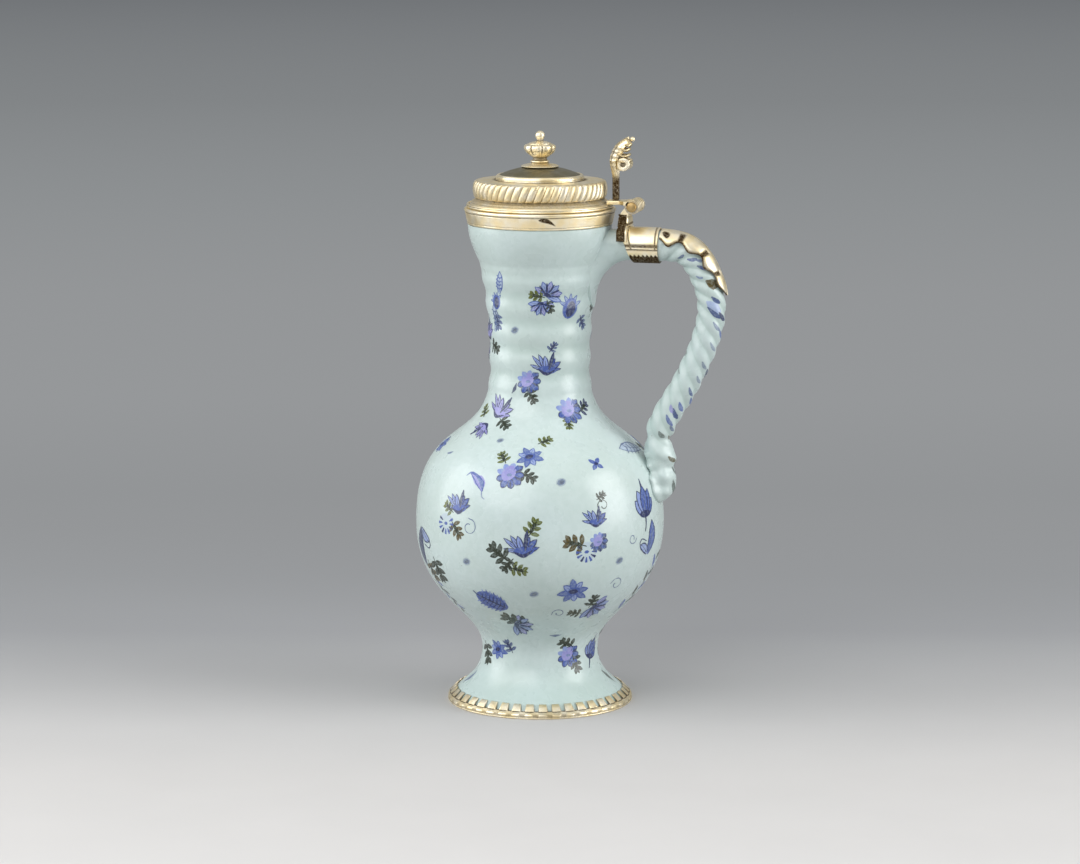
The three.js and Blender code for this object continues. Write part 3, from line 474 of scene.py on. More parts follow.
@dataclass
class Bench:
    """Holds every material of the jug, and turns skins into pieces of the part, in its frame."""

    axis: float

    def __post_init__(self) -> None:
        """Makes the materials once."""
        self.materials = {
            Finish.GLAZE: GlazeFinish().material(),
            Finish.PAINTED: GlazeFinish().material(painted=True),
            Finish.GILT: GiltFinish("pale_gilding").material(),
            Finish.DARK: GiltFinish("dull_gilding", tone("8b8468"), tone("99937c"), 0.12).material(),
            Finish.BROWN: GiltFinish("brown_gilding", tone("b48e50"), tone("c9ac78"), 0.12).material(),
        }

    def place(self, point: Vector) -> Vector:
        """Gives a point of the jug's own axes in the part's frame."""
        return Vector((point.x * MILLIMETRE + self.axis, point.y * MILLIMETRE, point.z * MILLIMETRE))

    def piece(self, name: str, skin: Skin, body: str, *nodes: str, finish: Finish = Finish.GILT,
              crease: float = 40.0) -> None:
        """Makes one piece.

        Args:
            name: Name of the piece.
            skin: Its mesh.
            body: Body that it rides on.
            nodes: Nodes that it stands for.
            finish: What it is finished in.
            crease: Angle in degrees from which an edge stays sharp.
        """
        mesh = bpy.data.meshes.new(name)
        mesh.from_pydata([self.place(p) for p in skin.points], [], skin.faces)
        self._colour(mesh, skin)
        self._tidy(mesh, turn_out=not skin.normals)
        mesh.shade_smooth()
        if skin.normals:
            normals = [skin.normals[item.value].normalized() for item in mesh.attributes["home"].data]
            free = mesh.attributes.new("custom_normal", "FLOAT_VECTOR", "POINT")
            free.data.foreach_set("vector", [value for normal in normals for value in normal])
        else:
            mesh.set_sharp_from_angle(angle=radians(crease))
        mesh.attributes.remove(mesh.attributes["home"])
        mesh.materials.append(self.materials[finish])
        obj = bpy.data.objects.new(name, mesh)
        bpy.context.scene.collection.objects.link(obj)
        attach(obj, body)
        if nodes:
            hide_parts(*nodes)
        log.info("made %s, %d faces", name, len(mesh.polygons))

    @staticmethod
    def _colour(mesh: bpy.types.Mesh, skin: Skin) -> None:
        """Writes what the corners carry onto the mesh."""
        recess_and_shade = mesh.attributes.new("recess_and_shade", "FLOAT", "POINT")
        recess_and_shade.data.foreach_set("value", skin.recess_and_shade)
        home = mesh.attributes.new("home", "INT", "POINT")
        home.data.foreach_set("value", range(len(skin.points)))
        if skin.paint:
            paint = mesh.attributes.new("paint", "FLOAT_COLOR", "POINT")
            paint.data.foreach_set("color", [value for shade in skin.paint for value in shade])

    @staticmethod
    def _tidy(mesh: bpy.types.Mesh, turn_out: bool) -> None:
        """Drops loose corners, and turns all faces outwards where they aren't yet."""
        work = bmesh.new()
        work.from_mesh(mesh)
        bmesh.ops.delete(work, geom=[v for v in work.verts if not v.link_faces], context="VERTS")
        if turn_out:
            bmesh.ops.recalc_face_normals(work, faces=work.faces)
        work.to_mesh(mesh)
        work.free()


# Pot


@dataclass
class Pot:
    """The thrown pot: flared foot, round belly, ringed neck and a mouth that opens like a cup."""

    wall: float = 4.5
    foot_rim: Pair = (44.2, 3.6)
    waist: Pair = (29.4, 27.0)
    belly: Pair = (62.5, 92.0)
    neck: Pair = (25.2, 168.0)
    throat: Pair = (30.3, 222.0)
    mouth: Pair = (36.0, 240.8)
    lip: Pair = (36.2, 248.0)
    lip_root: float = 35.0
    ring_count: int = 5
    ring_pitch: float = 13.15
    first_ring: float = 161.4
    ring_rise: float = 0.42
    ring_pool: float = 0.22
    floor: float = 31.0
    recess_depth: float = 19.0
    land_width: float = 6.0
    land_height: float = 1.1
    glaze_inset: float = 0.22
    foot_shade: float = 0.3
    wobble: float = 0.22
    segments: int = 224
    step: float = 0.8
    fine_step: float = 0.25

    def __post_init__(self) -> None:
        """Works out the plain outline once."""
        rim, waist, belly, neck, throat = self.foot_rim, self.waist, self.belly, self.neck, self.throat
        flare = bezier([rim, (rim[0] - 4.6, rim[1] + 5.6), (waist[0], waist[1] - 14.0), waist], 60)
        lower = bezier([waist, (waist[0], waist[1] + 20.0), (belly[0], belly[1] - 40.0), belly], 90)
        upper = bezier([belly, (belly[0], belly[1] + 54.0), (neck[0], neck[1] - 40.0), neck], 90)
        self._line = [*flare, *lower[1:], *upper[1:]]
        for z in spread(neck[1], throat[1], 60)[1:]:
            share = (z - neck[1]) / (throat[1] - neck[1])
            self._line.append((mix(neck[0], throat[0], share ** 2.3), z))
        for z in spread(throat[1], self.mouth[1], 40)[1:]:
            share = (z - throat[1]) / (self.mouth[1] - throat[1])
            self._line.append((mix(throat[0], self.mouth[0], sin(share * pi / 2)), z))
        self._heights = spread(rim[1], self.mouth[1], int((self.mouth[1] - rim[1]) / self.fine_step) + 1)
        self._radii = [self._raw(z) for z in self._heights]
        self._travel = [0.0]
        outline = list(zip(self._radii, self._heights))
        for near, far in zip(outline, outline[1:]):
            self._travel.append(self._travel[-1] + hypot(far[0] - near[0], far[1] - near[1]))

    def _raw(self, z: float) -> float:
        """Looks up the outline with its rings."""
        line = self._line
        k = max(next((i for i, point in enumerate(line) if point[1] >= z), len(line) - 1), 1)
        share = (z - line[k - 1][1]) / max(line[k][1] - line[k - 1][1], 1e-6)
        return mix(line[k - 1][0], line[k][0], min(max(share, 0.0), 1.0)) + self.ring(z)

    def ring(self, z: float) -> float:
        """Gives the rise of the throwing rings at a height."""
        first, half = self.first_ring, self.ring_pitch / 2
        top = first + self.ring_pitch * (self.ring_count - 1)
        fade = smooth(z, first - half, first) * fall(z, top, top + half)
        return self.ring_rise * fade * cos(2 * pi * (z - first) / self.ring_pitch)

    def radius(self, z: float) -> float:
        """Gives the outside's radius at a height."""
        last = len(self._heights) - 1
        share = (z - self._heights[0]) / (self._heights[-1] - self._heights[0]) * last
        k = min(max(int(share), 0), last - 1)
        return mix(self._radii[k], self._radii[k + 1], min(max(share - k, 0.0), 1.0)) - self.glaze_inset

    def along(self, z: float, distance: float) -> float:
        """Gives the height that lies a distance up the outside from another height."""
        start = self._travel[self._index(self._heights, z)] + distance
        return self._heights[self._index(self._travel, start)]

    @staticmethod
    def _index(values: Sequence[float], value: float) -> int:
        """Finds the place of a value in a rising list."""
        low, high = 0, len(values) - 1
        while high - low > 1:
            middle = (low + high) // 2
            low, high = (middle, high) if values[middle] < value else (low, middle)
        return low

    def surface(self, degrees: float, z: float) -> Vector:
        """Gives the point of the thrown surface at an angle and a height."""
        turn = radians(degrees)
        seat = Vector((cos(turn) * 1.6, sin(turn) * 1.6, z * 0.022))
        drift = noise.noise(seat) + 0.5 * noise.noise(seat * 2.7)
        out = self.radius(z) - self.wobble * (0.5 + 0.45 * drift)
        return Vector((out * cos(turn), out * sin(turn), z))

    def facing(self, degrees: float, z: float) -> Vector:
        """Gives the outward direction at a point of the surface."""
        turn = radians(degrees)
        slope = (self.radius(z + 0.4) - self.radius(z - 0.4)) / 0.8
        return Vector((cos(turn), sin(turn), -slope)).normalized()

    def build(self, bench: Bench) -> None:
        """Makes the pot."""
        rim, depth, low, top = self.foot_rim, self.recess_depth, self.land_height, self.lip[1]
        land = rim[0] - self.land_width
        vault = bezier([(4.0, depth), (19.0, 18.6), (24.0, 14.0), (land - 2.5, 5.1)], 14)
        under = [(0.0, depth), *vault, (land, low)]
        heights = spread(rim[1], self.mouth[1], int((self.mouth[1] - rim[1]) / self.step))
        bore = self.lip[0] - self.wall
        floor = self.floor
        levels = spread(self.throat[1] + 9.0, floor + 5.5, 90)
        inner = [(self.radius(z) - self.ring(z) - self._skew(z), z) for z in levels]
        corner = bezier([inner[-1], (inner[-1][0] - 1.6, floor + 1.2), (18.0, floor), (12.0, floor)], 10)
        root = (self.lip_root, self.mouth[1])
        lip = rounded([root, (self.lip[0] - 0.2, top), (bore, top), (bore, top - 6.0), inner[0]], 1.2, 4, False)
        edge = rounded([(land, low), (rim[0] - 0.2, low), (rim[0] - 0.2, rim[1])], 0.9, 4, False)[1:-1]

        def section(degrees: float) -> list[Spot]:
            """Gives the pot's whole outline at an angle."""
            spots = plain([*under, *edge])
            for z in heights:
                point = self.surface(degrees, z)
                hollow = max(-self.ring(z) / self.ring_rise, 0.0)
                # Painted shade: towards the foot the glaze darkens to the greener tone where the belly shades
                # it; in the rings' hollows it is glaze that pools.
                pooled_and_shade = max(self.ring_pool * hollow, self.foot_shade * fall(z, 8.0, 28.0))
                spots.append(Spot(hypot(point.x, point.y), z, pooled_and_shade))
            return spots + plain([*lip[:-1], *inner, *corner[1:], (0.0, floor)])

        skin = Skin.turned(turns(self.segments), section, closed=False)
        bench.piece("thrown_pot", skin, "jug", "faience_body", finish=Finish.GLAZE, crease=60.0)

    def _skew(self, z: float) -> float:
        """Gives the wall's thickness measured level, where the outline leans."""
        slope = (self.radius(z + 1.0) - self.ring(z + 1.0) - self.radius(z - 1.0) + self.ring(z - 1.0)) / 2.0
        return self.wall * sqrt(1.0 + min(abs(slope), 1.6) ** 2)


# Handle


@dataclass
class Handle:
    """The pulled handle: a plain root, a rope of four strands, and a folded end pressed onto the belly."""

    pot: Pot
    top: float = 231.5
    start: float = 21.2
    straight: float = 60.0
    reach: float = 86.8
    land: Pair = (8.0, 126.0)
    heel: Pair = (3.6, 116.0)
    foot: Pair = (-3.4, 104.0)
    bends: tuple[Pair, ...] = ((0.865, 0.032), (0.972, 0.166), (1.0, 0.294), (0.962, 0.445), (0.86, 0.635))
    tucks: tuple[Pair, ...] = ((0.26, 0.824), (-0.14, 0.905))
    folds: tuple[Triple, ...] = (
        (1.63, 0.59, 0.04), (2.59, 0.27, -0.1), (3.56, 0.67, 0.13), (4.89, 0.385, -0.16),
    )
    grip: float = 6.75
    strands: int = 4
    strand_rise: float = 0.06
    crumple: float = 0.2
    end_spread: float = 0.45
    pitches: Pair = (27.0, 40.0)
    root_reach: float = 18.4
    root_drop: float = 24.0
    root_start: float = 46.0
    root_half_height: float = 7.6
    root_half_width: float = 7.0
    root_flare: float = 0.5
    rope_lead: float = 7.0
    sleeve_end: float = 61.0
    pot_span: Pair = (4.0, 240.0)
    pot_bite: float = 1.4
    stations: int = 300
    facets: int = 64

    def __post_init__(self) -> None:
        """Works out the centreline once."""
        fall_height = self.top - self.land[1]
        ends = [Vector((self.pot.radius(z) + self.pot.glaze_inset + stand, 0.0, z))
                for stand, z in (self.land, self.heel, self.foot)]
        bends = [(self.reach * out, drop) for out, drop in self.bends]
        tucks = [(ends[0].x + self.grip * out, drop) for out, drop in self.tucks]
        points = [Vector((x, 0.0, self.top)) for x in (self.start, (25.2 + self.straight) / 2, self.straight)]
        points += [Vector((x, 0.0, self.top - fall_height * drop)) for x, drop in bends + tucks]
        self.path = through(points + ends, self.stations + 1)
        self.length = sum((b - a).length for a, b in zip(self.path, self.path[1:]))
        self.straight_share = (self.straight - self.start) / self.length

    def frame(self, share: float) -> tuple[Vector, Vector, float]:
        """Gives the centre, the outward direction and the strands' turn at a share of the length."""
        place = min(max(share, 0.0), 1.0) * self.stations
        k = min(int(place), self.stations - 1)
        centre = self.path[k].lerp(self.path[k + 1], place - k)
        along = (self.path[min(k + 2, self.stations)] - self.path[max(k - 1, 0)]).normalized()
        travelled = max(share - self.straight_share, 0.0) * self.length
        whole = (1.0 - self.straight_share) * self.length
        pitch = mix(*self.pitches, travelled / whole / 2)
        return centre, Vector((-along.z, 0.0, along.x)), 2 * pi * travelled / pitch

    def surface(self, share: float, phase: float) -> Vector:
        """Gives a point of the handle's surface, kept out of the pot's hollow.

        Args:
            share: Share of its length.
            phase: Angle round it that turns with its strands, in radians.

        Returns:
            The point.
        """
        centre, out, twist = self.frame(share)
        left = (1.0 - share) * self.length
        folds = 1.0 + sum(
            swell * math.exp(-(((left / self.grip - at) / width) ** 2)) for at, width, swell in self.folds
        )
        radius = self.grip * folds * smooth(left, self.foot[0] * 2, self.grip)
        is_root = share < self.straight_share + self.rope_lead * 2 / self.length
        bare = fall(centre.x, self.sleeve_end - 1.0, self.sleeve_end + self.rope_lead) if is_root else 0.0
        rise = mix(radius, self.root_half_height, bare)
        side = mix(radius, self.root_half_width, bare)
        inward = min(max(self.root_start - centre.x, 0.0) / self.root_reach, 1.0) if is_root else 0.0
        web = self.root_drop * (1.0 - sqrt(1.0 - inward ** 2))
        rope = smooth(left, self.grip * self.folds[1][0], self.grip * self.folds[3][0] + self.rope_lead)
        up, across = cos(phase + twist), sin(phase + twist)
        seat = Vector((up * 1.3, across * 1.3, left * 0.2))
        bumpy = 0.0 if is_root else self.crumple * (1.0 - rope) * smooth(left, 2.0, 9.0)
        crumple = 1.0 + bumpy * noise.noise(seat)
        strand = cos(self.strands * phase) * 0.5 + abs(cos(self.strands * phase / 2)) - 0.5
        swell = crumple + (1.0 - bare) * rope * self.strand_rise * strand
        point = centre + out * (swell * up * (rise if up > 0 else rise + web))
        point.y += swell * side * (1.0 + self.root_flare * inward ** 3) * across
        wall = self.pot.radius(min(max(point.z, self.pot_span[0]), self.pot_span[1]))
        if not is_root:
            point.y *= 1.0 + self.end_spread * fall(hypot(point.x, point.y) - wall, 0.0, 5.0) ** 2
        inside = (wall - self.pot_bite) / hypot(point.x, point.y)
        if inside > 1.0:
            point.x *= inside
            point.y *= inside
        return point

    def build(self, bench: Bench) -> None:
        """Makes the handle."""
        phases = [2 * pi * k / self.facets for k in range(self.facets)]
        shares = spread(0.0, 1.0, self.stations + 1)

        def recess_and_shade(row: int, column: int) -> float:
            """Darkens the grooves between the strands along the rope, towards the greener glaze tone."""
            left = (1.0 - shares[row]) * self.length
            begun = smooth(shares[row], self.straight_share, self.straight_share + 0.05)
            groove = 1.0 - abs(cos(self.strands * phases[column] / 2)) ** 0.5
            return 0.4 * begun * smooth(left, 18.0, 40.0) * groove

        skin = Skin().loft([[self.surface(share, phase) for phase in phases] for share in shares], recess_and_shade)
        bench.piece("twisted_handle", skin, "jug", "faience_handle", finish=Finish.GLAZE, crease=60.0)


# Painting


class Pigment(Enum):
    """The colours on the painter's palette."""

    COBALT = tone("4058a2")
    INK = tone("1d2859")
    SKY = tone("8294cc")
    LILAC = tone("918fca")
    SLATE = tone("4d5f8a")
    MOSS = tone("5a6408")
    PINE = tone("1b2611")
    RUST = tone("52440f")


class Motif(Enum):
    """What the painter's hand knows, each named after the brush's own way of painting it."""

    TULIP = "tulip"
    BERRY = "berry"
    BUD = "bud"
    ROSETTE = "rosette"
    ASTER = "aster"
    STAR = "star"
    FAN = "fan"
    COMB = "comb"
    LEAF = "leaf"
    SCROLL = "scroll"
    WING = "wing"
    OVAL = "oval"
    CROSS = "cross"
    DOT = "dot"
    CURL = "curl"
    DASH = "dash"
    SPRAY = "spray"


M = Motif
P = Pigment
Corner = tuple[Vector, Vector, float]

# A stroke's section: how far aside, how high as a share of its lift, how thick in colour, how much pooled.
WIDE_SECTION = (
    (-1.0, -0.02, 0.6, 0.0), (-0.8, 1.0, 1.0, 0.0), (-0.4, 1.0, 1.0, 0.5), (0.0, 1.0, 1.0, 1.0),
    (0.4, 1.0, 1.0, 0.5), (0.8, 1.0, 1.0, 0.0), (1.0, -0.02, 0.6, 0.0), (0.6, -2.5, 0.6, 0.0),
    (0.0, -2.5, 0.6, 0.0), (-0.6, -2.5, 0.6, 0.0),
)
THIN_SECTION = ((-1.0, 1.0, 1.0, 0.0), (0.0, 1.0, 1.0, 0.0), (1.0, 1.0, 1.0, 0.0), (0.0, -2.5, 1.0, 0.0))


@dataclass(frozen=True)
class Mark:
    """One painted thing: where its middle lies, how large it is, which way it points and in what colour.

    Its first place is in degrees from the middle of the front, or in millimetres within a sprig. Its turn is
    in degrees from upright, clockwise.
    """

    motif: Motif
    across: float
    up: float
    size: float
    turn: float = 0.0
    pigment: Pigment = P.COBALT


class Patch(Protocol):
    """A stretch of surface that can be painted on in its own flat millimetres."""

    def at(self, across: float, up: float) -> tuple[Vector, Vector]:
        """Gives the place and the outward direction of a flat point."""


@dataclass
class PotPatch:
    """The pot's surface round one place."""

    pot: Pot
    degrees: float
    height: float

    def at(self, across: float, up: float) -> tuple[Vector, Vector]:
        """Gives the place and the outward direction of a flat point."""
        z = self.pot.along(self.height, up)
        degrees = self.degrees + math.degrees(across / self.pot.radius(z))
        return self.pot.surface(degrees, z), self.pot.facing(degrees, z)


@dataclass
class HandlePatch:
    """The handle's surface round one place: across runs round it, up runs towards its root."""

    handle: Handle
    left: float
    around: float
    near_phase: float = 0.04
    near_share: float = 0.002

    def at(self, across: float, up: float) -> tuple[Vector, Vector]:
        """Gives the place and the outward direction of a flat point."""
        surface = self.handle.surface
        share = 1.0 - (self.left + up) / self.handle.length
        centre, _, twist = self.handle.frame(share)
        phase = self.around + across / self.handle.grip - twist
        here = surface(share, phase)
        round_it = surface(share, phase + self.near_phase) - surface(share, phase - self.near_phase)
        along = surface(share + self.near_share, phase) - surface(share - self.near_share, phase)
        facing = round_it.cross(along).normalized()
        return here, facing if facing.dot(here - centre) > 0 else -facing


@dataclass
class Brush:
    """Lays strokes of pigment as thin lenses on a surface, all gathered in one skin.

    Places and the sizes of blades and blots are shares of the motif's size. Widths of strokes are millimetres.
    Each later stroke of a motif lies a little higher, so that it covers the ones before it.
    """

    skin: Skin
    patch: Patch
    size: float = 1.0
    turn: float = 0.0
    offset: Pair = (0.0, 0.0)
    lift: float = 0.04
    layer: float = 0.006
    grain: float = 1.0
    wide_from: float = 1.0
    thinnest: float = 0.12

    def broad(self, *shares: float) -> list[float]:
        """Gives widths that grow with the motif."""
        return [self.size * share for share in shares]

    def stroke(self, path: Sequence[Pair], widths: Sequence[float], pigment: Pigment, cover: float = 1.0,
               pool: float = 0.0) -> None:
        """Draws one stroke.

        Args:
            path: Points that it passes through.
            widths: How wide it is at even distances along it, in millimetres.
            pigment: Its colour.
            cover: How thick the pigment lies.
            pool: How much thinner it lies in the middle than near its edges.
        """
        section = WIDE_SECTION if max(widths) >= self.wide_from else THIN_SECTION
        points = [Vector((x * self.size, y * self.size, 0.0)) for x, y in path]
        length = sum((b - a).length for a, b in zip(points, points[1:]))
        count = max(5, int(length / self.grain) + 3)
        line = through(points, count)
        rows: list[list[Corner]] = []
        for i, place in enumerate(line):
            ahead = (line[min(i + 1, count - 1)] - line[max(i - 1, 0)]).normalized()
            where = i / (count - 1) * (len(widths) - 1)
            k = min(int(where), len(widths) - 2)
            half = max(mix(widths[k], widths[k + 1], where - k), self.thinnest) / 2
            row = []
            for side, rise, share, pooling in section:
                flat = (place.x + ahead.y * half * side, place.y - ahead.x * half * side)
                point, facing = self.patch.at(*swung(flat, self.turn, self.offset))
                row.append((point + facing * self.lift * rise, facing, cover * (share - pool * pooling)))
            rows.append(row)
        self._lens(rows, pigment)
        self.lift += self.layer

    def _lens(self, rows: list[list[Corner]], pigment: Pigment) -> None:
        """Adds a stroke's sections as one closed lens whose faces look outwards.

        Args:
            rows: The sections, over the top and back under the surface.
            pigment: The stroke's colour.
        """
        outwards = sum((near[2][0] - near[0][0]).cross(far[1][0] - near[1][0]).dot(near[1][1])
                       for near, far in zip(rows, rows[1:]))
        if outwards < 0:
            rows = rows[::-1]
        self.skin.loft([[corner[0] for corner in row] for row in rows])
        for row in rows:
            for _, facing, cover in row:
                self.skin.normals.append(facing)
                self.skin.paint.append((*pigment.value[:3], cover))

    def blade(self, base: Pair, turn: float, length: float, width: float, pigment: Pigment,
              line: Pigment | None = None, cover: float = 1.0, bend: float = 0.0) -> None:
        """Paints one petal or leaf blade.

        Args:
            base: Where it grows.
            turn: Which way it points, in degrees from upright.
            length: Its length.
            width: Its greatest width.
            pigment: Its colour.
            line: Colour of its outline and vein, if it has them.
            cover: How thick its colour lies.
            bend: How far its middle leans to the right, as a share of its length.
        """
        def at(along: float, across: float) -> Pair:
            """Gives a point of the blade."""
            shift = across * width + bend * length * sin(pi * along)
            return swung((shift, along * length), turn, base)

        widths = self.broad(*(width * share for share in (0.35, 0.85, 1.0, 0.82, 0.15)))
        self.stroke([at(0.0, 0), at(0.5, 0), at(1.0, 0)], widths, pigment, cover, 0.12)
        if line is None:
            return
        thin = min(0.7, 0.2 + self.size * width * 0.11)
        for hand in (-1, 1):
            path = [at(0.02, 0.15 * hand), at(0.45, 0.46 * hand), at(0.8, 0.34 * hand), at(1.02, 0.0)]
            self.stroke(path, [thin * 0.7, thin, thin, thin * 0.6], line, 0.95)
        self.stroke([at(0.1, 0), at(0.72, 0)], [thin, thin * 0.5], line, 0.85)

    def blot(self, centre: Pair, length: float, width: float, pigment: Pigment, cover: float = 1.0,
             turn: float = 90.0, pool: float = 0.0) -> None:
        """Paints a round or oval touch.

        Args:
            centre: Its middle.
            length: Its length.
            width: Its width.
            pigment: Its colour.
            cover: How thick its colour lies.
            turn: Which way its length points, in degrees from upright.
            pool: How much thinner its colour lies in the middle.
        """
        path = [swung((0.0, t * length / 2), turn, centre) for t in spread(-1.0, 1.0, 5)]
        round_off = [width * sqrt(max(1.0 - t * t, 0.04)) for t in spread(-1.0, 1.0, 13)]
        self.stroke(path, self.broad(*round_off), pigment, cover, pool)

    def draw(self, mark: Mark) -> None:
        """Paints a mark about the patch's middle."""
        getattr(self, mark.motif.value)(mark.pigment)

    def tulip(self, pigment: Pigment) -> None:
        """Paints a low cup of petals, pale to its left and dark to its right."""
        wash = P.LILAC if pigment is P.LILAC else P.SKY
        for turn, reach, width, colour in (
            (-76, 0.56, 0.12, wash), (-50, 0.68, 0.13, wash), (-32, 0.6, 0.14, wash),
            (74, 0.5, 0.13, pigment), (-13, 0.5, 0.19, wash), (50, 0.56, 0.2, pigment),
            (28, 0.5, 0.16, pigment),
        ):
            self.blade((0.0, -0.22), turn, reach, width, colour, P.INK)
        self.blot((0.03, -0.17), 0.6, 0.3, pigment)
        self.stroke([(-0.27, -0.18), (0.02, -0.31), (0.28, -0.16)], self.broad(0.04, 0.14, 0.04), P.INK)
        self.blade((0.08, -0.16), 9.0, 0.6, 0.15, P.INK)

    def berry(self, pigment: Pigment) -> None:
        """Paints a plump dark fruit in pale sepals."""
        for turn in (-74, -40, -8, 26, 58):
            self.blade((0.0, -0.05), turn, 0.52, 0.14, P.SKY, pigment, 0.7)
        self.blot((0.0, -0.1), 0.8, 0.68, pigment, 1.0, 8.0)
        self.blot((0.02, -0.12), 0.62, 0.5, P.INK, 0.95, 8.0)

    def bud(self, pigment: Pigment) -> None:
        """Paints a tall closed flower with a spike above it and a stem below."""
        base = (0.0, -0.2)
        self.stroke([(0.0, 0.52), (0.0, 0.2)], [0.5, *self.broad(0.07, 0.05)], P.INK)
        for turn, reach in ((-42, 0.42), (44, 0.42), (-20, 0.52), (22, 0.52)):
            self.blade(base, turn, reach, 0.24, P.SKY if turn < 0 else pigment, P.INK)
        self.blade(base, 1.0, 0.56, 0.24, pigment, P.INK)
        self.blot((0.0, -0.16), 0.36, 0.16, P.INK)
        self.stroke([base, (0.01, -0.34), (-0.02, -0.5)], [0.8, 0.6, 0.4], P.INK)

    def rosette(self, pigment: Pigment) -> None:
        """Paints a full round flower with scalloped petals."""
        for k in range(9):
            turn = 40.0 * k + 8.0
            wash = pigment if 30.0 < turn < 260.0 else P.SKY
            away = swung((0.0, 0.33), turn)
            if wash is pigment:
                self.blot(away, mix(0.36, 0.42, k % 2), 0.3, P.INK, 0.9, turn)
            self.blot(away, mix(0.3, 0.36, k % 2), 0.24, wash, 0.95, turn)
        self.blot((-0.06, 0.07), 0.62, 0.56, P.LILAC, 1.0, 30.0)
        for k in range(7):
            ray = [swung((0.0, reach), 28.0 * k + 30.0) for reach in (0.22, 0.46)]
            self.stroke(ray, [0.5, 1.1, 0.5], P.INK if k % 2 else P.COBALT, 0.9)
        self.blot((-0.02, 0.0), 0.2, 0.14, P.COBALT, 0.8)

    def aster(self, pigment: Pigment) -> None:
        """Paints a white flower whose rays are short dark touches."""
        self.blot((0.0, 0.0), 0.95, 0.95, P.SKY, 0.28, pool=0.8)
        for k in range(9):
            ray = [swung((0.0, reach), 300.0 - 30.0 * k) for reach in (0.24, 0.5)]
            self.stroke(ray, self.broad(0.05, 0.11, 0.12), pigment if k % 3 else P.INK)
        self.blot((0.0, 0.0), 0.22, 0.16, pigment)

    def star(self, pigment: Pigment) -> None:
        """Paints an open flower with pointed petals round a dark heart."""
        for k in range(8):
            colour = pigment if k % 3 else P.SKY
            self.blade((0.0, 0.0), 45.0 * k + 14.0, mix(0.44, 0.54, k % 3 / 2), 0.22, colour, pigment, 0.9)
        self.blot((0.0, 0.0), 0.46, 0.4, pigment, 1.0, 50.0)
        self.blot((-0.02, 0.0), 0.32, 0.24, P.INK, 1.0, 70.0)

    def fan(self, pigment: Pigment) -> None:
        """Paints half a flower, spread like a fan."""
        foot = (0.0, -0.3)
        for k in range(6):
            self.blade(foot, -82.0 + 33.0 * k, 0.64, 0.24, P.SKY if k % 2 else P.LILAC, pigment, 0.85)
        for k in range(5):
            ray = [swung((0.0, reach), -66.0 + 33.0 * k, foot) for reach in (0.16, 0.56)]
            self.stroke(ray, self.broad(0.06, 0.1, 0.05), P.INK)
        self.blot((0.0, -0.26), 0.34, 0.2, P.INK)

    def comb(self, pigment: Pigment) -> None:
        """Paints a leaf of plump lobes that crowd a dark rib."""
        dark = P.INK if pigment in (P.COBALT, P.SLATE, P.SKY) else P.PINE
        self.blot((0.0, 0.0), 0.7, 0.24, dark, 1.0, 0.0)
        for k in range(3):
            for hand in (-1, 1):
                self.blade((hand * 0.03, mix(-0.34, 0.16, k / 2)), hand * mix(74, 40, k / 2),
                           mix(0.44, 0.36, k / 2), 0.23, pigment)
        self.blade((0.0, 0.14), 4.0, 0.36, 0.2, pigment)
        self.stroke([(0.0, -0.55), (0.03, 0.0), (0.0, 0.4)], [0.4, 0.6, 0.3], dark)
        for k in range(3):
            up = mix(-0.3, 0.16, k / 2)
            for hand in (-1, 1):
                self.stroke([(0.0, up), (hand * 0.22, up + 0.1)], [0.55, 0.3], dark)

    def leaf(self, pigment: Pigment) -> None:
        """Paints one long leaf in outline over a thin wash."""
        self.blade((0.0, -0.5), 0.0, 1.0, 0.32, P.SKY, pigment, 0.42, 0.06)
        for k in range(4):
            up = mix(-0.26, 0.22, k / 3)
            for hand in (-1, 1):
                self.stroke([(hand * 0.15, up + 0.08), (0.03, up)], [0.6, 0.8], pigment, 0.9)

    def scroll(self, pigment: Pigment) -> None:
        """Paints a tall bent leaf with a curl at its foot."""
        self.blade((0.0, -0.5), 8.0, 1.0, 0.42, pigment, P.INK, 0.95, 0.12)
        self.blade((-0.02, -0.48), -58.0, 0.52, 0.26, P.SKY, P.INK, 0.8, 0.12)
        curl = [(-0.12, -0.1), (-0.4, -0.02), (-0.48, -0.16), (-0.34, -0.22)]
        self.stroke(curl, [0.4, 0.6, 0.6, 0.4], P.INK)

    def wing(self, pigment: Pigment) -> None:
        """Paints a curved blade like a bird, with a long thin tail."""
        path = [(-0.12, 0.42), (-0.02, 0.16), (0.06, -0.1), (-0.02, -0.36)]
        self.stroke(path, [0.6, *self.broad(0.18, 0.36, 0.28), 0.4], P.LILAC, 1.0, 0.1)
        self.stroke([(x + 0.03, y) for x, y in path[1:]], [0.4, *self.broad(0.14, 0.16), 0.3], pigment, 0.8)
        self.stroke([(-0.3, 0.4), path[0], (0.06, 0.18), (0.16, -0.08)], [0.3, 1.2, 1.3, 0.5], pigment)
        for hand in (-0.5, 0.4):
            edge = [(x + hand * share, y) for (x, y), share in zip(path, (0.03, 0.14, 0.26, 0.02))]
            self.stroke(edge, [0.4, 0.6, 0.5, 0.25], pigment)
        self.stroke([(-0.02, -0.34), (-0.1, -0.5), (-0.06, -0.62)], [0.5, 0.4, 0.25], pigment, 0.8)

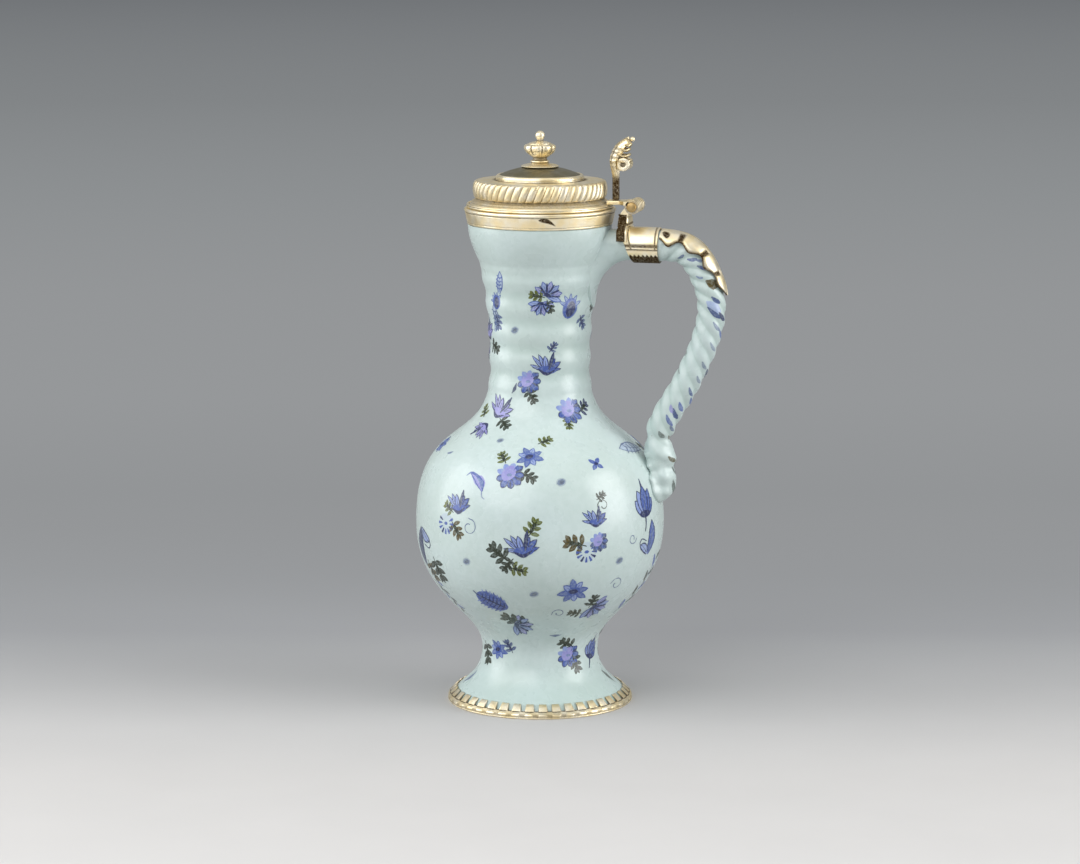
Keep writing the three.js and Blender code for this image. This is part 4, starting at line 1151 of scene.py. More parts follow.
    def oval(self, pigment: Pigment) -> None:
        """Paints a plump bud with a saw edge and a veined middle."""
        self.blot((0.0, 0.0), 1.0, 0.7, pigment, 1.0, 0.0, 0.12)
        for k in range(7):
            up = mix(0.36, -0.34, k / 6)
            half = 0.35 * sqrt(max(1.0 - (2.0 * up) ** 2, 0.12))
            for hand in (-1, 1):
                tooth = [(hand * half * 0.8, up - 0.03), (hand * (half + 0.06), up + 0.04)]
                self.stroke(tooth, [0.3, 0.7, 0.3], pigment if k % 2 else P.SKY)
                self.stroke([(0.0, up - 0.06), (hand * half * 0.72, up)], [0.5, 0.3], P.INK)
        self.stroke([(0.0, 0.5), (0.0, 0.0), (0.0, -0.44)], [0.3, 0.9, 0.7, 0.3], P.INK)
        self.stroke([(0.0, 0.48), (0.05, 0.64)], [0.6, 0.4], P.SLATE)

    def cross(self, pigment: Pigment) -> None:
        """Paints four small petals."""
        for k in range(4):
            self.blade((0.0, 0.0), 90.0 * k + 40.0, 0.5, 0.3, pigment)
        self.blot((0.0, 0.0), 0.26, 0.24, P.INK)

    def dot(self, pigment: Pigment) -> None:
        """Paints a blot with a dark heart."""
        self.blot((0.0, 0.0), 1.0, 0.86, P.SLATE, 0.35, 70.0)
        self.blot((0.0, 0.0), 0.8, 0.68, P.SLATE, 0.75, 70.0)
        self.blot((0.03, 0.0), 0.5, 0.4, pigment, 0.75, 60.0)

    def curl(self, pigment: Pigment) -> None:
        """Paints a thin tendril."""
        path = [swung((0.0, mix(0.5, 0.16, t)), mix(-110.0, 280.0, t)) for t in spread(0.0, 1.0, 9)]
        self.stroke(path, [0.3, 0.5, 0.42, 0.35, 0.6], pigment, 0.85)

    def dash(self, pigment: Pigment) -> None:
        """Paints one touch of the brush."""
        self.stroke([(0.0, -0.5), (0.08, 0.0), (0.0, 0.5)], [0.3, *self.broad(0.34), 0.3], pigment, 0.8)

    def spray(self, pigment: Pigment) -> None:
        """Paints a long stem with leaves on both sides."""
        stem = [(0.0, -0.5), (0.06, -0.15), (-0.03, 0.2), (0.02, 0.5)]
        self.stroke(stem, [0.5, 0.8, 0.6, 0.3], P.INK, 0.95)
        for k in range(8):
            base = (0.0, mix(-0.4, 0.42, k / 7))
            colour = P.PINE if k % 3 else pigment
            self.blade(base, 48.0 if k % 2 else -48.0, 0.22, 0.085, colour, cover=0.95)


# The front, mark by mark, as degrees from its middle and height in millimetres.
FRONT_MARKS = tuple(Mark(*row) for row in (
    # Neck
    (M.LEAF, -45, 214, 12, 14), (M.BERRY, -53, 205, 9, -14), (M.LEAF, -58, 196, 14, 2, P.SLATE),
    (M.COMB, -54, 194, 9, 170, P.SLATE), (M.COMB, -4, 208.5, 8, -78, P.MOSS), (M.FAN, 11, 211.5, 12, 30),
    (M.FAN, 1, 202, 10, 182), (M.COMB, 10, 203, 7, 160, P.PINE), (M.BERRY, 34, 203, 13, 10),
    (M.COMB, 54, 194, 8, 150, P.SLATE), (M.DOT, -29, 191, 4.6, 0, P.INK), (M.COMB, 15, 183, 6, 35, P.SLATE),
    (M.TULIP, 8, 174, 15, 8), (M.ROSETTE, -13, 165.5, 12), (M.COMB, -9, 158, 8, 150, P.PINE),
    (M.DASH, -30, 162, 6, 24, P.INK), (M.TULIP, -43, 152, 16, 20, P.LILAC),
    (M.TULIP, -54, 141, 13, 205, P.LILAC), (M.COMB, -33, 145, 9, 125, P.PINE),
    (M.DOT, -29, 138, 4, 0, P.INK), (M.COMB, -68, 149, 8, -40, P.MOSS), (M.ROSETTE, 31, 151, 14),
    (M.COMB, 50, 152, 9, 60, P.INK), (M.COMB, 26, 145, 7, -170, P.MOSS),
    # Shoulder
    (M.STAR, -84, 131, 11, 20), (M.DASH, -63, 130, 5, 70, P.SLATE), (M.COMB, 4, 138.5, 8, 62, P.MOSS),
    (M.STAR, -6, 132, 13), (M.COMB, -22, 131.5, 8, -35, P.MOSS), (M.ROSETTE, -15.5, 124, 14),
    (M.COMB, -5.5, 123.5, 9, 120, P.PINE), (M.WING, -32, 120, 16, -38), (M.DOT, 10.5, 121, 5.2, 0, P.INK),
    (M.CROSS, 32, 128, 8.5), (M.LEAF, 69, 131, 21, 282, P.SLATE),
    # Belly
    (M.TULIP, -41, 109, 15, -6), (M.COMB, -47, 106, 8, -60, P.MOSS), (M.ASTER, -48, 98, 11),
    (M.COMB, -41, 95.5, 10, 140, P.RUST), (M.CURL, -34, 98, 9, 100, P.SLATE),
    (M.COMB, -3, 100, 10, 28, P.MOSS), (M.TULIP, -8, 91, 17, -4), (M.COMB, -19.5, 87, 12, -52, P.PINE),
    (M.COMB, -15, 80.5, 9, -140, P.PINE), (M.COMB, -9.5, 78.5, 9, 104, P.MOSS),
    (M.COMB, 30, 113.5, 6, 60, P.PINE), (M.CURL, 30.5, 109, 7, -30, P.PINE), (M.TULIP, 26, 103.5, 13),
    (M.ASTER, 21.5, 87, 11), (M.ROSETTE, 27.5, 91.5, 10, 0, P.SLATE), (M.COMB, 15.5, 91.5, 12, -76, P.RUST),
    (M.BUD, 57, 105.5, 26), (M.SCROLL, 60, 89, 17, 4), (M.CURL, 47, 90.5, 6, 200, P.SLATE),
    (M.DOT, -36, 80.5, 5, 0, P.INK), (M.DOT, 39.5, 80.5, 5, 0, P.INK), (M.DOT, -3, 65.5, 5, 0, P.INK),
    (M.SCROLL, -70, 82, 20, 176, P.INK), (M.COMB, -58, 72, 14, 165, P.PINE),
    (M.COMB, -66, 70, 12, 165, P.RUST), (M.SPRAY, -64, 58, 22, 165),
    # Under the belly
    (M.OVAL, -27, 60, 17, -60), (M.COMB, -18, 49.5, 14, -62, P.PINE), (M.FAN, -11.5, 46, 14, 100, P.SLATE),
    (M.STAR, 17, 66.5, 15, 20), (M.COMB, 30, 60, 9, 10, P.PINE), (M.FAN, 36, 54.5, 14, 120),
    (M.COMB, 21, 53.5, 8, -80, P.PINE), (M.CURL, 41, 68, 8, 30, P.SLATE), (M.CURL, 11, 54, 7, 0, P.SLATE),
    (M.DASH, 13, 40, 6, 88, P.SLATE), (M.SPRAY, 69, 62, 38, 22),
    # Waist
    (M.STAR, -45, 30, 11), (M.COMB, -31, 33, 8, -24, P.SLATE), (M.COMB, -64, 26, 12, 165, P.PINE),
    (M.COMB, 25, 34.5, 10, -60, P.PINE), (M.ROSETTE, 29, 28, 12), (M.COMB, 37, 23, 10, 160, P.PINE),
    (M.BUD, 60, 28, 18, 18), (M.DASH, 80, 12.5, 11, -30, P.PINE), (M.DASH, -84, 12, 11, 30, P.SLATE),
))

# Sprigs for the rest of the pot, in millimetres about their own middles.
SPRIGS = tuple(tuple(Mark(*row) for row in sprig) for sprig in (
    ((M.STAR, 0, 2, 14), (M.ROSETTE, -7, -7, 13), (M.COMB, 8, 9, 9, 60, P.MOSS),
     (M.COMB, -13, 2, 8, -50, P.PINE)),
    ((M.TULIP, 2, 6, 15, 8), (M.COMB, -7, -4, 12, -70, P.RUST), (M.ASTER, 5, -6, 11),
     (M.CURL, 9, 13, 7, 0, P.SLATE)),
    ((M.OVAL, 0, 4, 17, -50), (M.COMB, 6, -7, 11, 70, P.PINE), (M.CURL, -9, -3, 7, 0, P.SLATE)),
    ((M.FAN, 2, 1, 13, 140), (M.COMB, -4, 7, 9, 0, P.MOSS), (M.COMB, -8, -3, 8, -90, P.PINE),
     (M.CURL, 8, 9, 7, 40, P.SLATE)),
    ((M.TULIP, 0, 3, 14, -18, P.LILAC), (M.TULIP, -6, -8, 11, 200, P.LILAC), (M.COMB, 7, -5, 9, 110, P.PINE)),
    ((M.WING, 0, 0, 17, 40),),
    ((M.BUD, 0, 4, 24), (M.SCROLL, 5, -13, 16, 8)),
    ((M.CROSS, 0, 0, 8.5),),
    ((M.DOT, 0, 0, 5, 0, P.INK),),
    ((M.LEAF, 0, 0, 15, -60, P.SLATE),),
    ((M.STAR, 0, 2, 11), (M.COMB, -6, -3, 9, -130, P.PINE), (M.COMB, 6, -2, 8, 125, P.MOSS)),
))

# Where a sprig goes on the back: its number, degrees from the middle of the front, height, and turn.
BACK_SPRIGS = (
    (0, 102, 128, 0), (2, 122, 108, 20), (1, 104, 92, 0), (3, 128, 72, 0), (8, 110, 66, 0), (5, 92, 112, 0),
    (4, 150, 130, 10), (6, 150, 98, 0), (7, 136, 118, 0), (8, 143, 84, 0), (9, 116, 52, 0),
    (0, 156, 60, 30), (1, 178, 112, 0), (8, 168, 124, 0), (2, 176, 84, -30), (3, 200, 130, 180),
    (10, 205, 100, 0), (8, 190, 96, 0), (4, 204, 76, 0), (9, 186, 62, 30), (7, 222, 116, 20),
    (0, 232, 132, 180), (1, 236, 96, 8), (5, 222, 62, 90), (6, 252, 72, -12), (8, 246, 84, 0),
    (3, 250, 116, 0), (8, 262, 104, 0), (2, 264, 52, 0), (10, 176, 40, 0), (10, 92, 40, 0),
    (10, 226, 44, 0), (8, 134, 44, 0), (10, 108, 29, 0), (4, 158, 29, 0), (10, 206, 29, 0),
    (10, 254, 29, 0), (0, 120, 205, 0), (10, 166, 208, 0), (4, 214, 204, 0), (8, 244, 214, 0),
    (7, 142, 189, 0), (8, 176, 190, 0), (1, 138, 168, 0), (10, 190, 172, 0), (3, 228, 172, 0),
    (8, 262, 183, 0), (2, 246, 154, 0), (10, 158, 150, 0), (5, 198, 150, 20), (9, 106, 158, 40),
    (8, 84, 186, 0), (10, 88, 205, 0), (4, 281, 186, 0), (7, 262, 205, 0),
)

# The handle's touches: distance from its lower end, angle round it, length, width, colour and thickness.
HANDLE_TOUCHES = (
    (136, -1.9, 4, 1.8, P.SLATE, 0.8), (130.5, -1.5, 5, 2, P.SLATE, 0.9), (128, -1.1, 4, 1.6, P.SLATE, 0.8),
    (124.5, -1.15, 6, 2.2, P.SLATE, 0.9), (121, -1.7, 3.5, 1.4, P.COBALT, 0.6),
    (116, -1.0, 7, 5, P.RUST, 0.9), (114, -0.4, 5, 2.4, P.RUST, 0.9), (108.4, -1.0, 5.5, 2.4, P.SLATE, 1.0),
    (105.5, -1.2, 9, 5.5, P.SKY, 0.6), (102.8, -1.2, 8.5, 2.6, P.SLATE, 1.0),
    (101, -0.5, 6, 2.4, P.INK, 0.9), (96.5, -0.85, 6, 2, P.SLATE, 0.7), (93, -0.2, 6, 2.4, P.COBALT, 0.8),
    # The two faint pine touches at -2.8 and -2.6 round the handle are painted shade in a groove between
    # strands.
    (86.7, -0.7, 6, 1.8, P.SLATE, 0.55), (80, -2.8, 6, 1.8, P.PINE, 0.4), (77, -0.8, 5, 1.8, P.SLATE, 0.6),
    (74, -0.1, 5, 2.2, P.INK, 0.8), (69.5, -0.7, 5, 1.8, P.SLATE, 0.6), (69.5, -2.6, 6, 1.8, P.PINE, 0.4),
    (62.5, -0.8, 5.5, 2, P.SLATE, 0.9), (58, -0.2, 6, 2.2, P.COBALT, 0.8),
    (53.7, -0.85, 6, 2.6, P.COBALT, 0.8), (50.5, -1.35, 5, 2.4, P.LILAC, 0.8),
    (49, -0.9, 7, 2.6, P.SLATE, 1.0), (44.6, -1.1, 7, 2.4, P.COBALT, 0.8), (41, -0.6, 5, 2, P.SLATE, 0.7),
    (35.8, -1.2, 5, 3, P.PINE, 0.6), (34, -0.2, 6, 2.4, P.RUST, 0.8), (21.7, -0.5, 6, 2.6, P.RUST, 0.8),
    (18, 0.1, 5, 2, P.PINE, 0.7), (10.7, -0.1, 6, 2.6, P.PINE, 0.7),
)


@dataclass
class Painter:
    """Paints the pot and the handle."""

    pot: Pot
    handle: Handle
    neck_above: float = 139.0
    foot_below: float = 42.0
    touch_lean: float = -52.0
    far_setback: float = 2.0

    def build(self, bench: Bench) -> None:
        """Makes the painting, in one piece for each part of the pot and one for the handle."""
        skins = {"neck_sprigs": Skin(), "belly_sprigs": Skin(), "foot_sprigs": Skin()}
        for mark in FRONT_MARKS:
            patch = PotPatch(self.pot, FRONT + mark.across, mark.up)
            Brush(skins[self._zone(mark.up)], patch, mark.size, mark.turn).draw(mark)
        for number, degrees, height, turn in BACK_SPRIGS:
            patch = PotPatch(self.pot, FRONT + degrees, height)
            for mark in SPRIGS[number]:
                offset = swung((mark.across, mark.up), turn)
                Brush(skins[self._zone(height)], patch, mark.size, mark.turn + turn, offset).draw(mark)
        skins["handle_strokes"] = self._touches()
        for name, skin in skins.items():
            bench.piece(name, skin, "jug", finish=Finish.PAINTED)

    def _zone(self, height: float) -> str:
        """Names the piece that a height on the pot belongs to."""
        if height > self.neck_above:
            return "neck_sprigs"
        return "belly_sprigs" if height > self.foot_below else "foot_sprigs"

    def _touches(self) -> Skin:
        """Paints the handle's touches, each on the side that the photo shows and again on the far side."""
        skin = Skin()
        for left, around, length, width, pigment, cover in HANDLE_TOUCHES:
            path = [(0.2, -length / 2), (-0.3, 0.0), (0.2, length / 2)]
            for hand in (1, -1):
                patch = HandlePatch(self.handle, left - self.far_setback * (hand < 0), around * hand)
                brush = Brush(skin, patch, turn=self.touch_lean)
                brush.stroke(path, [0.8, width, width * 0.8, 0.6], pigment, cover)
        return skin


# Foot mount


@dataclass
class FootMount:
    """A silver ring under the foot, and a band of tabs that grips its rim."""

    pot: Pot
    radius: float = 46.5
    height: float = 2.6
    width: float = 10.0
    sheet: float = 0.8
    stamp_depth: float = 0.3
    tabs: int = 42
    tab_top: float = 6.6
    tab_share: float = 0.68
    tab_slope: float = 0.06
    tab_neck: float = 1.1
    tab_stand: float = 0.4
    tab_sheet: float = 0.7
    tab_stations: tuple[float, ...] = (
        0.0, 0.02, 0.04, 0.06, 0.12, 0.22, 0.31, 0.4, 0.5, 0.56, 0.58, 0.6, 0.62, 0.74, 0.88,
    )

    def build(self, bench: Bench) -> None:
        """Makes the ring and the band."""
        bench.piece("foot_ring", self._ring(), "jug", "foot_base_moulding")
        bench.piece("foot_tabs", self._band(), "jug", "foot_dentil_collar")

    def _tab(self, degrees: float) -> Pair:
        """Gives the place within a tab's pitch, and how far the tab has risen there."""
        share = (degrees * self.tabs / 360.0) % 1.0
        rise = smooth(share, 0.0, self.tab_slope) * fall(share, self.tab_share - self.tab_slope, self.tab_share)
        return share, rise

    def _ring(self) -> Skin:
        """Makes the ring, stamped with a block under each tab."""
        inner, outer = self.radius - self.width, self.radius
        shelf = self.pot.foot_rim[0] + SEAT_GAP
        face = stepped((outer, 0.0), (-0.25, 0.0), (0.0, 0.45), (-0.15, 0.75), (-0.3, 1.0), (-0.1, 1.35),
                       (-0.1, 1.95), (-0.35, 2.2), (-0.4, self.height))
        channel = [(shelf, self.height), (shelf, self.sheet), (inner, self.sheet)]
        outline = rounded([(inner, 0.0), *face, *channel], 0.22, 2)

        def section(degrees: float) -> list[Spot]:
            """Sinks the gaps between the stamped blocks."""
            gap = 1.0 - self._tab(degrees)[1]
            spots = []
            for out, up in outline:
                is_face = out > shelf + 0.5
                stamped = gap * smooth(up, 0.85, 1.15) * fall(up, 2.0, 2.35) * is_face
                line = 0.6 * (is_face and abs(up - 0.9) < 0.16)
                spots.append(Spot(out - self.stamp_depth * stamped, up, max(0.45 * stamped, line)))
            return spots

        return Skin.turned(turns(self.tabs * 12), section)

    def _band(self) -> Skin:
        """Makes the band of tabs."""
        rim = self.pot.foot_rim
        top_radius = self.pot.radius(self.tab_top) + self.pot.glaze_inset
        low = self.height + self.tab_neck

        def lean(z: float) -> float:
            """Gives the band's inner radius at a height."""
            return mix(rim[0], top_radius, (z - rim[1]) / (self.tab_top - rim[1])) + self.tab_stand

        def section(degrees: float) -> list[Spot]:
            """Raises each tab over the band."""
            share, rise = self._tab(degrees)
            top = mix(low, self.tab_top, rise)
            middle = (share - self.tab_share / 2) / (self.tab_share / 2)
            swell = 0.16 * rise * max(1.0 - middle * middle, 0.0)
            edge = (1.0 - rise) * 0.9 + 0.5 * rise * smooth(abs(middle), 0.75, 1.0)
            sunk = -0.1 * rise
            face = (
                (self.height, 0.0, 0.2), (low - 0.5, 0.0, 0.1), (low - 0.35, sunk, mix(0.2, 0.9, rise)),
                (low - 0.1, sunk, mix(0.3, 0.9, rise)), (low, 0.0, edge),
                (mix(low, top, 0.5), swell * 0.8, edge), (top - 0.25, swell * 0.3, edge), (top, -0.2, edge),
            )
            return [
                Spot(lean(self.height), self.height, 0.3),
                *(Spot(lean(z) + self.tab_sheet + stand, z, dark) for z, stand, dark in face),
                Spot(lean(top), top - 0.05, 0.7),
            ]

        stations = [(i + share) * 360.0 / self.tabs for i in range(self.tabs) for share in self.tab_stations]
        return Skin.turned(stations, section)


# Mouth mount


@dataclass
class MouthMount:
    """A silver channel over the lip, with a leaf-shaped mark struck into its front."""

    pot: Pot
    sheet: float = 0.7
    flare: float = 0.4
    inner_depth: float = 3.5
    line_drop: float = 0.8
    line_rise: float = 1.1
    line_depth: float = 0.12
    mark_angle: float = -70.6
    mark_length: float = 8.5
    mark_width: float = 4.2
    mark_depth: float = 0.35

    def __post_init__(self) -> None:
        """Works out the channel's top, its greatest radius and its inner radius."""
        self.top = self.pot.lip[1] + SEAT_GAP + self.sheet
        self.radius = self.pot.lip[0] + SEAT_GAP + self.sheet + self.flare
        self.bore = self.pot.lip[0] - self.pot.wall - SEAT_GAP - self.sheet

    def build(self, bench: Bench) -> None:
        """Makes the channel."""
        lip, bore, top = self.pot.lip[1], self.bore, self.top
        skirt = self.pot.mouth[1] + SEAT_GAP
        inner = self.pot.lip_root + SEAT_GAP
        outer = self.radius - self.flare
        line, end = lip - self.line_drop, lip - self.inner_depth
        band = [(mix(inner + self.sheet, outer, t), mix(skirt, line, t)) for t in spread(0.1, 0.97, 26)]
        crest = [band[-1], (outer, line), (self.radius, lip - 0.1), (self.radius, lip + 0.3), (outer, top),
                 (bore + 0.3, top), (bore, top - 0.35), (bore, end)]
        outline = [
            *rounded([(inner, skirt), (inner + self.sheet, skirt), band[0]], 0.25, closed=False),
            *band[1:],
            *rounded(crest, 0.25, closed=False)[1:],
            (bore + self.sheet, end), (bore + self.sheet, lip + SEAT_GAP),
            (self.pot.lip[0] + SEAT_GAP, lip + SEAT_GAP),
        ]

        def section(degrees: float) -> list[Spot]:
            """Scores two lines round the band and strikes the mark."""
            across = radians((degrees - self.mark_angle + 180.0) % 360.0 - 180.0) * outer
            spots = []
            for out, up in outline:
                is_face = out > inner + self.sheet * 0.9
                is_line = is_face and (abs(up - line) < 0.2 or abs(up - (skirt + self.line_rise)) < 0.14)
                # Painted shade: the struck leaf is laid dark as the shade inside a piercing, as well as sunk.
                struck = self._struck(across, up - (skirt + top) / 2) if is_face else 0.0
                sunk = self.mark_depth * struck + self.line_depth * is_line
                spots.append(Spot(out - sunk, up, max(0.75 * is_line, struck)))
            return spots

        reach = 0.7 * self.mark_length / outer
        fine = [math.degrees(a) + self.mark_angle for a in spread(-reach, reach, 90)]
        coarse = [a for a in turns(240) if not fine[0] - 1 < (a + 180) % 360 - 180 < fine[-1] + 1]
        skin = Skin.turned(sorted(a % 360 for a in fine + coarse), section)
        bench.piece("mouth_channel", skin, "jug", "mouth_collar")

    def _struck(self, across: float, up: float) -> float:
        """Says how deep the leaf mark is struck at a place of the band, which also sets its painted shade."""
        along = across / self.mark_length + 0.5
        if not 0.0 < along < 1.0:
            return 0.0
        bow = sin(pi * along)
        spine = mix(0.25, -0.42, along) * self.mark_width + 0.25 * self.mark_width * bow
        half = 0.36 * self.mark_width * bow ** 0.8 * mix(1.1, 0.6, along)
        return fall(abs(up - spine), half * 0.7, half + 0.12)


# Strap round the handle


@dataclass
class HandleStrap:
    """The sleeve round the handle's root, in two halves, and the leaf of sheet along the handle's back."""

    handle: Handle
    sheet: float = 1.1
    start: float = 41.6
    end: float = 61.0
    slant: float = 6.4
    split: float = 1.2
    groove: float = 0.22
    end_round: float = 0.18
    saw_teeth: float = 7.0
    tail_sheet: float = 0.8
    tail_half_angle: float = 72.0
    tail_length: float = 39.0
    tail_scallops: int = 4
    tail_scallop: float = 0.16
    tail_groove: float = 0.4
    tail_hole: float = 1.9
    tail_hole_setback: float = 2.9
    tail_hole_angle: float = -36.0

    def build(self, bench: Bench) -> None:
        """Makes the two halves and the leaf."""
        half = self.handle.root_half_height + SEAT_GAP + self.sheet
        split = math.degrees(math.asin(self.split / half))
        rest = math.degrees(math.asin((self.split + SEAT_GAP) / half))
        top = self._half(-split, 180.0 + split, self._top_recess)
        under = self._half(180.0 + rest, 360.0 - rest, self._under_shade)
        bench.piece("sleeve_top", top, "jug", "strap_saddle")
        bench.piece("sleeve_under", under, "jug", "strap_underband")
        bench.piece("sleeve_leaf", self._leaf(), "jug", "strap_tail")

    def _top_recess(self, along: float, angle: float) -> float:
        """Scores a line near each end of the upper half and along its split."""
        ends = min(abs(along - 0.17), abs(along - 0.93))
        side = min(abs(angle - 2.0), abs(178.0 - angle))
        return max(0.8 * fall(ends, 0.012, 0.03), 0.85 * fall(side, 3.0, 8.0))

    def _under_shade(self, along: float, angle: float) -> float:
        """Sinks the lower half below a saw-toothed line and paints it dark as shade on the sleeve's underside,
        with a dark line along its split, under a plain band.
        """
        depth = min(angle - 190.0, 350.0 - angle)
        saw = 14.0 + 18.0 * abs((along * self.saw_teeth) % 1.0 - 0.5)
        return max(smooth(depth, saw, saw + 4.0), 0.7 * fall(depth, 1.0, 5.0))

    def _half(self, low: float, high: float, recess_and_shade: Callable[[float, float], float]) -> Skin:
        """Makes a half of the sleeve.

        Args:
            low: Angle in degrees at which it starts.
            high: Angle at which it ends.
            recess_and_shade: How deep it is sunk and how dark, for scored lines and painted shade, at a share
                of its length and an angle.

        Returns:
            The half's skin.
        """
        handle = self.handle
        angles = spread(low, high, 64)
        half = handle.root_half_height + SEAT_GAP + self.sheet
        shares = sorted([*spread(0.0, 1.0, 60), 0.01, 0.99])

        def point(share: float, angle: float, clearance: float) -> Vector:
            """Gives a point of the sleeve."""
            y = (handle.root_half_width + clearance) * cos(radians(angle))
            z = handle.top + (handle.root_half_height + clearance) * sin(radians(angle))
            start = self.start + self.slant * (handle.top + half - z) / (2 * half)
            return Vector((mix(start, self.end, share), y, z))

        rows = []
        for share in shares:
            edge = self.end_round * (smooth(share, 0.0, 0.015) * fall(share, 0.985, 1.0) - 1.0)
            level = SEAT_GAP + self.sheet + edge
            outer = [point(share, angle, level - self.groove * recess_and_shade(share, angle)) for angle in angles]
            rows.append(outer + [point(share, angle, SEAT_GAP) for angle in reversed(angles)])
        width = len(angles)
        # The inner side, against the handle, is darkened as painted shade.
        return Skin().loft(rows, lambda i, k: recess_and_shade(shares[i], angles[k]) if k < width else 0.6)

    def _leaf(self) -> Skin:
        """Makes the leaf, with scalloped edges, a sunk dark line down its middle and a sunk dark spot near the
        sleeve, where painted shade stands in for a ridge's shadow and a hole.
        """
        handle = self.handle
        first = (self.end + SEAT_GAP - handle.start) / handle.length
        inner = max(handle.root_half_height, handle.grip * 1.08) + SEAT_GAP
        sweep = spread(-1.0, 1.0, 41)
        shares = spread(0.0, 1.0, 121)

        def wave(travelled: float) -> float:
            """Runs the scallops along the leaf."""
            return cos(2 * pi * self.tail_scallops * travelled)

        def sunk_and_shaded(travelled: float, side: float) -> float:
            """Says how deep the leaf is sunk and how dark its painted shade is at a place: in the gaps along
            its edges, at the notches between scallops, at the spot of the hole and down its middle.
            """
            edge = smooth(abs(side), 0.8, 0.97)
            notch_shade = smooth(wave(travelled), 0.55, 0.97) * smooth(abs(side), 0.16, 0.42) * (travelled > 0.12)
            across = radians(side * self.tail_half_angle - self.tail_hole_angle) * inner
            hole = hypot(travelled * self.tail_length - self.tail_hole_setback, across)
            painted_hole_shade = fall(hole, self.tail_hole - 0.4, self.tail_hole + 0.3)
            middle = 0.55 * fall(abs(side), 0.02, 0.07) * (travelled > 0.2)
            return max(edge, notch_shade, painted_hole_shade, middle)

        rows = []
        for travelled in shares:
            centre, out, _ = handle.frame(first + travelled * self.tail_length / handle.length)
            narrow = sqrt(max(1.0 - travelled ** 2.2, 0.02))
            half = radians(self.tail_half_angle) * narrow * (1.0 - self.tail_scallop * wave(travelled))
            radii = [inner + self.tail_sheet - self.tail_groove * sunk_and_shaded(travelled, side) for side in sweep]
            row = []
            for side, radius in [*zip(sweep, radii), *((side, inner) for side in sweep[::-1])]:
                point = centre + out * (radius * cos(side * half))
                point.y += radius * sin(side * half)
                row.append(point)
            rows.append(row)
        width = len(sweep)
        # The inner side, against the handle, is darkened as painted shade.
        return Skin().loft(rows, lambda i, k: sunk_and_shaded(shares[i], sweep[k]) if k < width else 0.9)


# Hinge


